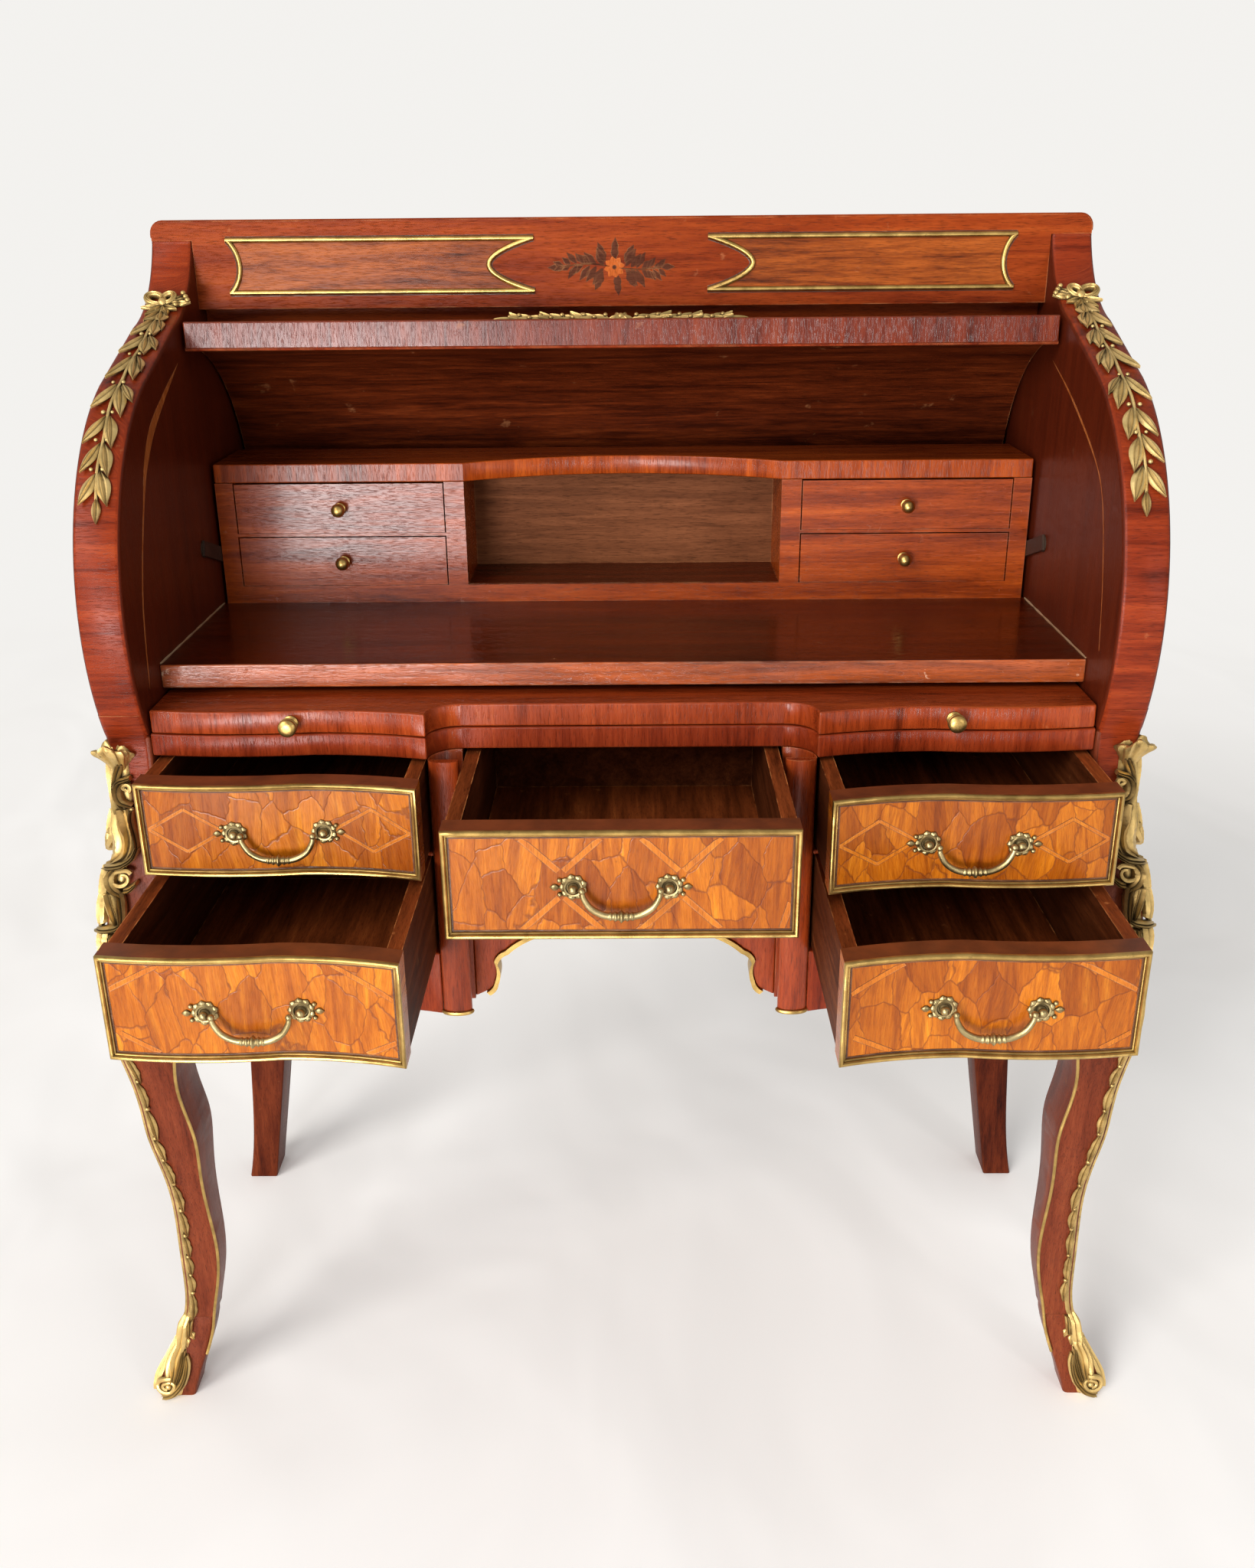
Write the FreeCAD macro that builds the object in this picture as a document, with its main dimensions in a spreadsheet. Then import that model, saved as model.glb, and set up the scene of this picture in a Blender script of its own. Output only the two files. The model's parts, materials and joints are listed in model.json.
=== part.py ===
import FreeCAD, Part
import math
import os
import Sketcher

Vector = FreeCAD.Vector
Rotation = FreeCAD.Rotation
Placement = FreeCAD.Placement

SIZES = [
    ("front_plane", -109.5, "y of the case front at its outer ends"),
    ("case_half", 432, "half the width over the side panels"),
    ("side_thick", 38, "thickness of a side panel"),
    ("case_bottom", 441, "height of the underside of the pedestals"),
    ("bottom_rail_high", 61, "height of the rail under a lower drawer"),
    ("lower_front_high", 89, "height of a lower drawer front"),
    ("upper_front_high", 80, "height of an upper drawer front"),
    ("blade_high", 4, "height of the blade between two drawers"),
    ("runner_high", 16, "height of a runner of the centre drawer"),
    ("fit_gap", 2, "gap above and below a drawer front"),
    ("side_gap", 1.5, "gap at each end of a drawer front"),
    ("run_gap", 0.3, "gap under a running drawer"),
    ("slide_rail_high", 19.5, "height of the rail under the writing slide"),
    ("slide_thick", 20, "thickness of the writing slide"),
    ("slide_gap", 0.5, "gap under the writing slide"),
    ("board_gap", 5, "gap between writing slide and desk board"),
    ("board_thick", 21, "thickness of the desk board"),
    ("board_front", 44, "set-back of the desk board"),
    ("case_depth", 420, "depth to the back of the case"),
    ("lid_room", 75, "room for the lid behind desk board and fitment"),
    ("back_thick", 9, "thickness of the back panel"),
    ("rail_depth", 45, "depth of the front rails"),
    ("slide_short", 5, "set of the back of the slide before the back of the desk board"),
    ("runner_short", 20, "set of the runner ends before the back of the case"),
    ("knee_half", 135.5, "half the width of the kneehole"),
    ("post_thick", 26, "thickness of a pedestal divider"),
    ("wave_set", 18.5, "set of the turn of the front curve towards the kneehole"),
    ("wave_turn", 2, "forward set of the turning point"),
    ("wave_out", 15, "forward set of the front at the divider"),
    ("wave_hollow", 484, "radius of the hollow part of the front"),
    ("wave_round", 360, "radius of the round part of the front"),
    ("arc_back", 180, "set-back of the centre of the side curve"),
    ("arc_rise", 41, "centre of the side curve over the desk board"),
    ("arc_radius", 202, "radius of the side curve"),
    ("arc_drop", 2.5, "drop of the start of the side curve under the slide rail top"),
    ("arc_end", 100, "set-back where the side curve ends"),
    ("neck_back", 200, "set-back where the hollow neck starts"),
    ("neck_rise", 264.5, "start of the hollow neck over the desk board"),
    ("neck_radius", 115, "radius of the hollow neck"),
    ("top_deep", 139, "depth of the top board"),
    ("frieze_foot", 273, "underside of the frieze over the desk board"),
    ("frieze_head", 336, "top of the frieze over the desk board"),
    ("frieze_turn", 331, "top of the hollow neck over the desk board"),
    ("frieze_thick", 20, "thickness of the frieze rail"),
    ("lip_drop", 26, "drop of the lip behind the frieze rail"),
    ("lip_thick", 10, "thickness of the lip behind the frieze rail"),
    ("top_thick", 15, "thickness of the top board"),
    ("post_set", 30, "set-back of the side panel behind the leg post"),
    ("front_thick", 20, "thickness of a drawer front"),
    ("wall_thick", 12, "thickness of a drawer side"),
    ("floor_thick", 8, "thickness of a drawer floor"),
    ("drawer_short", 35, "set of a closed drawer before the back of the desk board"),
    ("centre_set", 12, "set-back of the centre drawer and the recess"),
    ("pull_upper_left", 57, "rest travel of the upper left drawer"),
    ("pull_upper_right", 86, "rest travel of the upper right drawer"),
    ("pull_lower_left", 181, "rest travel of the lower left drawer"),
    ("pull_lower_right", 182, "rest travel of the lower right drawer"),
    ("pull_centre", 167, "rest travel of the centre drawer"),
    ("centre_front_high", 89, "height of the centre drawer front"),
    ("mould_wide", 8, "width of a drawer moulding"),
    ("mould_thick", 4, "thickness of a drawer moulding"),
    ("handle_span", 36, "half distance between handle posts"),
    ("handle_drop", 2, "drop of the handle axis under mid front"),
    ("rosette_radius", 12, "radius of a rosette"),
    ("rosette_thick", 4, "thickness of a rosette"),
    ("post_radius", 4, "radius of a handle post"),
    ("post_long", 13, "length of a handle post"),
    ("bail_set", 10, "set-out of the bail from the front"),
    ("bail_inset", 6.8, "set of the end of a bail inside its post"),
    ("bail_sag", 20, "drop of the bail"),
    ("bail_radius", 2.5, "radius of the bail rod"),
    ("apron_set", 16, "set-back of the kneehole apron"),
    ("toe_in", 10, "width of the toe of an apron bracket"),
    ("toe_high", 5, "rise of the toe of an apron bracket"),
    ("toe_round", 14, "radius of the toe of an apron bracket"),
    ("bracket_in", 18, "width of an apron bracket"),
    ("bracket_low", 16, "lower end of the bracket side"),
    ("bracket_high", 36, "upper end of the bracket side"),
    ("bracket_round", 26, "radius of the bracket side"),
    ("shoulder_in", 28, "inner end of the bracket shoulder"),
    ("shoulder_high", 47, "height of the bracket shoulder"),
    ("shoulder_round", 15, "radius of the bracket shoulder"),
    ("arch_in", 88, "set of the arch crown from the post"),
    ("arch_high", 68, "height of the arch beside its crown"),
    ("arch_round", 75, "radius of the arch beside its crown"),
    ("crown_high", 71, "height of the arch crown"),
    ("apron_thick", 16, "thickness of the kneehole apron"),
    ("runner_wide", 14, "width of a drawer runner"),
    ("floor_board", 12, "thickness of a pedestal bottom"),
    ("lid_rear_gap", 4, "gap between the lid and the back panel"),
    ("lid_rise", 64, "height of the lid axis over the desk board"),
    ("lid_inner", 182, "inner radius of the lid"),
    ("lid_outer", 202, "outer radius of the lid"),
    ("lid_side_gap", 3.5, "gap at each end of the lid"),
    ("lid_open", 88.3, "open position of the lid edge in degrees"),
    ("lid_sweep", 138, "sweep of the lid in degrees"),
    ("rail_sweep", 3, "sweep of the lid rail in degrees"),
    ("rail_inner", 179.5, "inner radius of the lid rail"),
    ("rail_outer", 203, "outer radius of the lid rail"),
    ("lid_mount_half", 118, "half the width of the lid mount"),
    ("lid_mount_sweep", 7, "sweep of the lid mount in degrees"),
    ("lid_mount_thick", 6, "thickness of the lid mount"),
    ("arm_angle", -18, "angle of the lid arm when open"),
    ("arm_thick", 2.2, "thickness of a lid arm"),
    ("arm_wide", 14, "width of a lid arm"),
    ("arm_long", 200, "reach of a lid arm"),
    ("pivot_radius", 8, "radius of a pivot plate"),
    ("pivot_thick", 1.1, "thickness of a pivot plate"),
    ("fit_side_gap", 4, "gap at each end of the fitment"),
    ("fit_deep", 94.5, "depth of the fitment"),
    ("fit_high", 135, "height of the fitment"),
    ("fit_top", 18, "thickness of the fitment top"),
    ("fit_base", 17, "height of the fitment base"),
    ("fit_end", 17, "thickness of a fitment end"),
    ("fit_inner", 152, "half the width of the open compartment"),
    ("fit_post", 19, "thickness of an inner fitment upright"),
    ("fit_recess", 316, "radius of the recess in the fitment top"),
    ("fit_blade", 3, "thickness of a fitment shelf"),
    ("fit_back", 6, "thickness of the fitment back"),
    ("small_gap", 1.2, "gap round a small drawer"),
    ("small_front", 9, "thickness of a small drawer front"),
    ("small_wall", 6, "thickness of a small drawer side"),
    ("small_floor", 4, "thickness of a small drawer floor"),
    ("small_short", 4.5, "gap behind a small drawer"),
    ("ball_radius", 6.5, "radius of a small drawer knob"),
    ("stem_radius", 2.5, "radius of a small drawer knob stem"),
    ("stem_long", 5, "length of a small drawer knob stem"),
    ("disc_radius", 7.5, "radius of a slide knob"),
    ("disc_long", 9, "length of a slide knob head"),
    ("neck_long", 9, "length of a slide knob stem"),
    ("neck_thick", 3.5, "radius of a slide knob stem"),
    ("knob_set", 3.5, "set of a slide knob towards the kneehole"),
    ("panel_in", 80, "inner points of a frieze frame"),
    ("panel_margin", 21, "margin of a frieze frame to the side panel"),
    ("panel_low", 12, "lower edge of a frieze frame over the frieze"),
    ("panel_high", 51, "height of a frieze frame"),
    ("panel_bite", 28.5, "radius of the inner end of a frieze frame"),
    ("panel_dish", 52, "radius of the outer end of a frieze frame"),
    ("strip_wide", 5, "width of a frieze frame strip"),
    ("strip_thick", 3, "thickness of a frieze frame strip"),
    ("garland_low", 157, "lower end of a garland in degrees"),
    ("garland_sweep", 42, "sweep of a garland in degrees"),
    ("garland_thick", 4, "thickness of a garland"),
    ("garland_wide", 16, "width of a garland"),
    ("bronze_wide", 8, "width of the bronze strip of a leg"),
    ("bronze_proud", 3, "stand of the bronze strip of a leg"),
    ("edge_thick", 3, "thickness of the brass edging"),
]

doc = FreeCAD.newDocument("desk")
sheet = doc.addObject("Spreadsheet::Sheet", "Sizes")


class Term:
    """A sheet expression together with its present value."""

    def __init__(self, text, value):
        self.text = text
        self.value = value

    def __add__(self, other):
        o = term(other)
        return Term("(%s + %s)" % (self.text, o.text), self.value + o.value)

    def __sub__(self, other):
        o = term(other)
        return Term("(%s - %s)" % (self.text, o.text), self.value - o.value)

    def __mul__(self, other):
        o = term(other)
        return Term("(%s * %s)" % (self.text, o.text), self.value * o.value)

    def __truediv__(self, other):
        o = term(other)
        return Term("(%s / %s)" % (self.text, o.text), self.value / o.value)

    def __neg__(self):
        return Term("(0 - %s)" % self.text, -self.value)

    __radd__ = __add__

    def __rsub__(self, other):
        return term(other) - self

    __rmul__ = __mul__


def term(value):
    if isinstance(value, Term):
        return value
    return Term("(%s)" % repr(float(value)), float(value))


def root(value):
    return Term("sqrt(%s)" % value.text, math.sqrt(value.value))


class Names:
    pass


S = Names()
for row, (name, number, note) in enumerate(SIZES, start=1):
    sheet.set("A%d" % row, name)
    sheet.set("B%d" % row, str(number))
    sheet.set("C%d" % row, note)
    sheet.setAlias("B%d" % row, name)
doc.recompute()
for name, number, note in SIZES:
    setattr(S, name, Term("Sizes." + name, float(sheet.get(name))))

MADE = {}
UPRIGHT_X = Rotation(Vector(1, 1, 1), 120)
UPRIGHT_Y = Rotation(Vector(1, 0, 0), 90)
FLAT = Rotation()


def bind(obj, prop, value):
    obj.setExpression(prop, term(value).text)


def place(obj, x, y, z, turn=FLAT):
    x, y, z = term(x), S.front_plane + y, term(z)
    obj.Placement = Placement(Vector(x.value, y.value, z.value), turn)
    for axis, value in (("x", x), ("y", y), ("z", z)):
        bind(obj, "Placement.Base." + axis, value)


def keep(obj, label):
    obj.Label = label
    MADE[label] = obj
    return obj


def box(name, x, y, z):
    """A board between pairs of limits, whichever way round the x limits are."""
    low, high = (x[0], x[1]) if term(x[0]).value < term(x[1]).value else (x[1], x[0])
    obj = doc.addObject("Part::Box", name)
    bind(obj, "Length", term(high) - low)
    bind(obj, "Width", term(y[1]) - y[0])
    bind(obj, "Height", term(z[1]) - z[0])
    place(obj, low, y[0], z[0])
    return obj


def rod(name, radius, long, x, y, z, turn):
    obj = doc.addObject("Part::Cylinder", name)
    bind(obj, "Radius", radius)
    bind(obj, "Height", long)
    place(obj, x, y, z, turn)
    return obj


FORWARD = Rotation(Vector(1, 0, 0), 90)


def cut(name, base, tool):
    obj = doc.addObject("Part::Cut", name)
    obj.Base = base
    obj.Tool = tool
    return obj


def fuse(name, one, two):
    obj = doc.addObject("Part::Fuse", name)
    obj.Base = one
    obj.Tool = two
    return obj


def common(name, one, two):
    obj = doc.addObject("Part::Common", name)
    obj.Base = one
    obj.Tool = two
    return obj


def group(label, members):
    obj = doc.addObject("Part::Compound", label)
    obj.Links = members
    return keep(obj, label)


def arc_between(a, b, radius, bulge):
    """Arc from a to b; bulge 1 puts it on the right of the way, -1 on the left."""
    chord = b.sub(a)
    half = chord.Length / 2.0
    reach = math.sqrt(max(radius * radius - half * half, 0.0))
    normal = Vector(-chord.y, chord.x, 0)
    normal.normalize()
    centre = a.add(b).multiply(0.5).add(normal * (reach * bulge))
    first, last = (a, b) if bulge > 0 else (b, a)
    begin = math.atan2(first.y - centre.y, first.x - centre.x)
    finish = math.atan2(last.y - centre.y, last.x - centre.x)
    if finish < begin:
        finish = finish + 2 * math.pi
    circle = Part.Circle(centre, Vector(0, 0, 1), radius)
    return Part.ArcOfCircle(circle, begin, finish)


def outline(name, loops, x, y, z, turn, way, length):
    """Extrude closed loops of (u, v, radius or None, bulge) corners.

    The radius and bulge of a corner describe the edge that leaves it."""
    sketch = doc.addObject("Sketcher::SketchObject", name + "_outline")
    place(sketch, x, y, z, turn)
    rules = []
    bound = []
    for loop in loops:
        points = [Vector(term(c[0]).value, term(c[1]).value, 0) for c in loop]
        count = len(loop)
        first = sketch.GeometryCount
        for i, corner in enumerate(loop):
            a = points[i]
            b = points[(i + 1) % count]
            if len(corner) > 2 and corner[2] is not None:
                shape = arc_between(a, b, term(corner[2]).value, corner[3])
                sketch.addGeometry(shape, False)
            else:
                sketch.addGeometry(Part.LineSegment(a, b), False)
        ends = []
        for i in range(count):
            geo = sketch.Geometry[first + i]
            ahead = True
            if geo.TypeId == "Part::GeomArcOfCircle":
                ahead = geo.StartPoint.distanceToPoint(points[i]) < 0.01
            ends.append((1, 2) if ahead else (2, 1))
        for i in range(count):
            j = (i + 1) % count
            rules.append(Sketcher.Constraint(
                "Coincident", first + i, ends[i][1], first + j, ends[j][0]))
        for i, corner in enumerate(loop):
            for kind, value in (("DistanceX", corner[0]), ("DistanceY", corner[1])):
                value = term(value)
                bound.append((len(rules), value.text))
                rules.append(Sketcher.Constraint(
                    kind, -1, 1, first + i, ends[i][0], value.value))
            if len(corner) > 2 and corner[2] is not None:
                value = term(corner[2])
                bound.append((len(rules), value.text))
                rules.append(Sketcher.Constraint("Radius", first + i, value.value))
    sketch.addConstraint(rules)
    for index, text in bound:
        sketch.setExpression("Constraints[%d]" % index, text)
    obj = doc.addObject("Part::Extrusion", name)
    obj.Base = sketch
    obj.DirMode = "Custom"
    obj.Dir = way
    obj.Solid = True
    bind(obj, "LengthFwd", length)
    return obj


UP = Vector(0, 0, 1)
BACK = Vector(0, 1, 0)
RIGHT = Vector(1, 0, 0)

inner = S.case_half - S.side_thick
post = S.knee_half + S.post_thick
lower_low = S.case_bottom + S.bottom_rail_high + S.fit_gap
lower_top = lower_low + S.lower_front_high
blade_low = lower_top + S.fit_gap
upper_low = blade_low + S.blade_high + S.fit_gap
upper_top = upper_low + S.upper_front_high
rail_low = upper_top + S.fit_gap
rail_top = rail_low + S.slide_rail_high
slide_low = rail_top + S.slide_gap
slide_top = slide_low + S.slide_thick
board_low = slide_top + S.board_gap
board_top = board_low + S.board_thick
frieze_low = board_top + S.frieze_foot
frieze_top = board_top + S.frieze_head
back_in = S.case_depth - S.back_thick
centre_low = rail_low - S.fit_gap - S.centre_front_high
lid_axis = board_top + S.lid_rise
middle = (post + inner) / 2
wave_mid = middle - S.wave_set
board_back = S.case_depth - S.lid_room
slide_back = board_back - S.slide_short
drawer_back = board_back - S.drawer_short
runner_back = S.case_depth - S.runner_short
frieze_back = S.case_depth - S.top_deep
lid_back = back_in - S.lid_rear_gap - S.lid_outer
lid_half = inner - S.lid_side_gap
fit_half = inner - S.fit_side_gap
fit_front = board_back - S.fit_deep
panel_out = inner - S.panel_margin
SIDES = (("left", -1), ("right", 1))


def wave(side, near, far, shift):
    """Corners of the serpentine front from the wall to the divider."""
    return [
        (far * side, term(shift), S.wave_hollow, -side),
        (wave_mid * side, term(shift) - S.wave_turn, S.wave_round, side),
        (near * side, term(shift) - S.wave_out),
    ]


def wave_rail(name, side, low, high):
    loop = wave(side, post, inner, 0)
    loop = loop + [(post * side, S.rail_depth), (inner * side, S.rail_depth)]
    return outline(name, [loop], 0, 0, low, FLAT, UP, term(high) - low)


def wave_strip(name, side, near, far, shift, thick, low, high):
    """A bent board of even thickness behind the serpentine front."""
    front = wave(side, near, far, shift)
    rear = [
        (near * side, term(shift) - S.wave_out + thick, S.wave_round, -side),
        (wave_mid * side, term(shift) - S.wave_turn + thick, S.wave_hollow, side),
        (far * side, term(shift) + thick),
    ]
    return outline(name, [front + rear], 0, 0, low, FLAT, UP, term(high) - low)


def full_front(name, far, rear, low, high):
    """The whole serpentine front with its recess over the kneehole."""
    left = wave(-1, post, far, 0)
    left[2] = (-post, -S.wave_out, S.post_thick, -1)
    right = wave(1, post, far, 0)
    loop = left + [(-S.knee_half, S.centre_set)]
    loop = loop + [(S.knee_half, S.centre_set, S.post_thick, -1)]
    loop = loop + [(post, -S.wave_out, S.wave_round, -1)]
    loop = loop + [(wave_mid, -S.wave_turn, S.wave_hollow, 1)]
    loop = loop + [(far, term(0)), (far, rear), (-far, rear)]
    loop[0] = (-far, term(0), S.wave_hollow, 1)
    loop[1] = (-wave_mid, -S.wave_turn, S.wave_round, -1)
    return outline(name, [loop], 0, 0, low, FLAT, UP, term(high) - low)


# Case
arc_z = board_top + S.arc_rise
arc_foot = rail_top - S.arc_drop
arc_low = S.arc_back - root(S.arc_radius * S.arc_radius - (arc_z - arc_foot) * (arc_z - arc_foot))
arc_high = arc_z + root(
    S.arc_radius * S.arc_radius - (S.arc_back - S.arc_end) * (S.arc_back - S.arc_end))
for word, side in SIDES:
    profile = [
        (S.post_set, S.case_bottom),
        (S.post_set, arc_foot),
        (arc_low, arc_foot, S.arc_radius, -1),
        (S.arc_end, arc_high),
        (S.neck_back, board_top + S.neck_rise, S.neck_radius, 1),
        (frieze_back, board_top + S.frieze_turn),
        (frieze_back, frieze_top),
        (S.case_depth, frieze_top),
        (S.case_depth, S.case_bottom),
    ]
    start = inner if side > 0 else -S.case_half
    keep(outline(word + "_side", [profile], start, 0, 0, UPRIGHT_X, RIGHT, S.side_thick),
         word + "_side")

keep(box("top_board", (-S.case_half, S.case_half), (frieze_back, S.case_depth),
         (frieze_top, frieze_top + S.top_thick)), "top_board")
frieze = box("frieze_face", (-inner, inner), (frieze_back, frieze_back + S.frieze_thick),
             (frieze_low, frieze_top))
lip_back = frieze_back + S.frieze_thick
lip = box("frieze_lip", (-inner, inner), (lip_back, lip_back + S.lip_thick),
          (frieze_low - S.lip_drop, frieze_top))
keep(fuse("frieze_rail", frieze, lip), "frieze_rail")
keep(box("back_panel", (-inner, inner), (back_in, S.case_depth), (S.case_bottom, frieze_top)),
     "back_panel")
keep(box("desk_board", (-inner, inner), (S.board_front, board_back), (board_low, board_top)),
     "desk_board")
keep(full_front("slide_rail", inner, S.rail_depth, rail_low, rail_top), "slide_rail")

rails = []
bottoms = []
runners = []
for word, side in SIDES:
    corner = [
        (post * side, -S.wave_out, S.post_thick, side),
        (S.knee_half * side, S.centre_set),
        (S.knee_half * side, back_in),
        (post * side, back_in),
    ]
    board = outline(word + "_divider_board", [corner], 0, 0, S.case_bottom, FLAT, UP,
                    rail_low - S.case_bottom)
    notch = box(word + "_divider_notch", ((S.knee_half - 1) * side, (post + 1) * side),
                (drawer_back + S.board_gap, S.case_depth), (lid_axis - S.lid_outer, rail_top))
    keep(cut(word + "_divider", board, notch), word + "_divider")
    rails.append(wave_rail(word + "_bottom_rail", side, S.case_bottom,
                           S.case_bottom + S.bottom_rail_high))
    rails.append(wave_rail(word + "_blade", side, blade_low, blade_low + S.blade_high))
    bottoms.append(box(word + "_bottom", (post * side, inner * side), (S.rail_depth, back_in),
                       (S.case_bottom, S.case_bottom + S.floor_board)))
    for low, high in ((S.case_bottom + S.floor_board, lower_low - S.run_gap),
                      (blade_low, upper_low - S.run_gap)):
        for near, far in ((post, post + S.runner_wide), (inner - S.runner_wide, inner)):
            runners.append(box(word + "_runner", (near * side, far * side),
                               (S.rail_depth, runner_back), (low, high)))
    runners.append(box(word + "_centre_runner",
                       ((S.knee_half - S.runner_wide) * side, S.knee_half * side),
                       (S.rail_depth, runner_back),
                       (centre_low - S.runner_high, centre_low - S.run_gap)))
group("case_rails", rails)
group("pedestal_bottoms", bottoms)
group("drawer_runners", runners)

apron_top = centre_low - S.fit_gap


def apron_edge(drop):
    """Lower edge of the apron from the right post to the centre."""
    base = S.case_bottom - drop
    edge = S.knee_half - drop
    return [
        (S.knee_half, S.case_bottom),
        (edge - S.toe_in, base + S.toe_high, S.toe_round, -1),
        (edge - S.bracket_in, base + S.bracket_low, S.bracket_round, -1),
        (edge - S.bracket_in, base + S.bracket_high, S.shoulder_round, 1),
        (edge - S.shoulder_in, base + S.shoulder_high, S.arch_round, 1),
        (edge - S.arch_in, base + S.arch_high),
        (term(0), base + S.crown_high),
    ]


right_edge = apron_edge(0)
left_edge = [(-p[0], p[1]) + tuple(p[2:]) for p in right_edge]
path = []
for point in right_edge:
    path.append(point)
for i in range(len(left_edge) - 2, -1, -1):
    before = left_edge[i]
    if len(before) > 2:
        path[-1] = (path[-1][0], path[-1][1], before[2], before[3])
    path.append((before[0], before[1]))
path = path + [(-S.knee_half, apron_top), (S.knee_half, apron_top)]
keep(outline("kneehole_apron", [path], 0, S.apron_set + S.apron_thick, 0, UPRIGHT_Y,
             Vector(0, -1, 0), S.apron_thick), "kneehole_apron")

edging = []
for word, side in SIDES:
    upper = apron_edge(0)[1:]
    lower = apron_edge(S.edge_thick)[1:]
    lower[-1] = (term(0), lower[-1][1])
    loop = [(p[0] * side, p[1]) + ((p[2], p[3] * side) if len(p) > 2 else ()) for p in upper]
    turn_back = [(p[0] * side, p[1]) for p in reversed(lower)]
    for i in range(1, len(lower)):
        source = lower[len(lower) - 1 - i]
        if len(source) > 2:
            old = turn_back[i - 1]
            turn_back[i - 1] = (old[0], old[1], source[2], -source[3] * side)
    edging.append(outline(word + "_edging", [loop + turn_back], 0, S.apron_set + S.apron_thick, 0,
                          UPRIGHT_Y, Vector(0, -1, 0), S.apron_thick + S.edge_thick))
group("brass_edging", edging)


def station_loft(name, stations, side):
    """A solid through level rectangles of (z, x near, x far, y front, y rear)."""
    wires = []
    for z, near, far, front, rear in stations:
        level = S.front_plane.value
        corners = [
            Vector(near * side, front + level, z),
            Vector(far * side, front + level, z),
            Vector(far * side, rear + level, z),
            Vector(near * side, rear + level, z),
        ]
        wires.append(Part.makePolygon(corners + corners[:1]))
    solid = Part.makeLoft(wires, True, False)
    if solid.Volume < 0:
        solid.reverse()
    obj = doc.addObject("Part::Feature", name)
    obj.Shape = solid
    return obj


half = S.case_half.value
wall = inner.value
foot = S.case_bottom.value
head = arc_foot.value
seat = S.post_set.value - 0.5
FRONT_LEG = [
    (head, wall + 0.5, half, 0, seat),
    (foot + 0.81 * (head - foot), wall + 0.5, half - 1, -3, seat),
    (foot + 0.58 * (head - foot), wall + 0.5, half + 7, -11, seat),
    (foot + 0.30 * (head - foot), wall + 0.5, half + 20, -24, seat),
    (foot + 0.11 * (head - foot), wall + 0.5, half + 25, -29, seat),
    (foot * 0.97, wall + 4, half + 26, -29, seat),
    (foot * 0.90, wall + 10, half + 22, -25, seat + 1.5),
    (foot * 0.76, wall + 9, half + 15, -18, 34),
    (foot * 0.61, wall + 6, half + 7, -12, 33),
    (foot * 0.41, wall + 5, half + 6, -1, 29),
    (foot * 0.27, wall + 11, half + 8, 2, 29),
    (foot * 0.19, wall + 18, half + 13, 0, 28),
]
SABOT = [
    (foot * 0.19, wall + 17, half + 14, -2, 29),
    (foot * 0.13, wall + 23, half + 22, -6, 28),
    (foot * 0.05, wall + 35, half + 40, -15, 23),
    (0.0, wall + 41, half + 43, -18, 19),
]
rear = S.case_depth.value - 0.5
BACK_LEG = [
    (foot, wall + 0.5, half - 0.5, rear - 53.5, rear),
    (foot * 0.70, wall + 6, half + 13, rear - 58.5, rear - 6),
    (foot * 0.34, wall + 22, half + 24, rear - 74.5, rear - 24.5),
    (foot * 0.12, wall + 35, half + 29, rear - 82.5, rear - 36.5),
    (0.0, wall + 42, half + 37, rear - 86.5, rear - 43.5),
]
bronze = S.bronze_wide.value
proud = S.bronze_proud.value
sabots = []
strips = []
knees = []
for word, side in SIDES:
    timber = [(z, a, b - proud, c, d) for z, a, b, c, d in FRONT_LEG]
    leg = keep(station_loft("front_leg_" + word, timber, side), "front_leg_" + word)
    keep(station_loft("back_leg_" + word, BACK_LEG, side), "back_leg_" + word)
    sabots.append(station_loft("sabot_" + word, SABOT, side))
    over = [(z, b - bronze, b, c - proud, c + bronze) for z, a, b, c, d in FRONT_LEG[3:]]
    strips.append(cut("strip_" + word, station_loft("strip_block_" + word, over, side), leg))
    crown = [(z, b - 1.6 * bronze, b + 1, c - 2 * proud, c + bronze)
             for z, a, b, c, d in FRONT_LEG[:4]]
    knees.append(cut("knee_" + word, station_loft("knee_block_" + word, crown, side), leg))
group("sabots", sabots)
group("leg_strips", strips)
group("knee_mounts", knees)


def sector(name, inside, outside, x0, wide, axis_y, axis_z, start, sweep):
    """Part of a tube about an axis along x, from a start angle."""
    turn = UPRIGHT_X.multiply(Rotation(Vector(0, 0, 1), start))
    solids = []
    for word, radius in (("_outer", outside), ("_inner", inside)):
        obj = doc.addObject("Part::Cylinder", name + word)
        bind(obj, "Radius", radius)
        bind(obj, "Height", wide)
        bind(obj, "Angle", sweep)
        place(obj, x0, axis_y, axis_z, turn)
        solids.append(obj)
    return cut(name, solids[0], solids[1])


garlands = []
for word, side in SIDES:
    band = S.case_half - S.side_thick / 2
    low_x = band * side - S.garland_wide / 2
    garlands.append(sector("garland_" + word, S.arc_radius, S.arc_radius + S.garland_thick,
                           low_x, S.garland_wide, S.arc_back, arc_z,
                           S.garland_low.value - S.garland_sweep.value, S.garland_sweep))
group("garlands", garlands)

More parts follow.
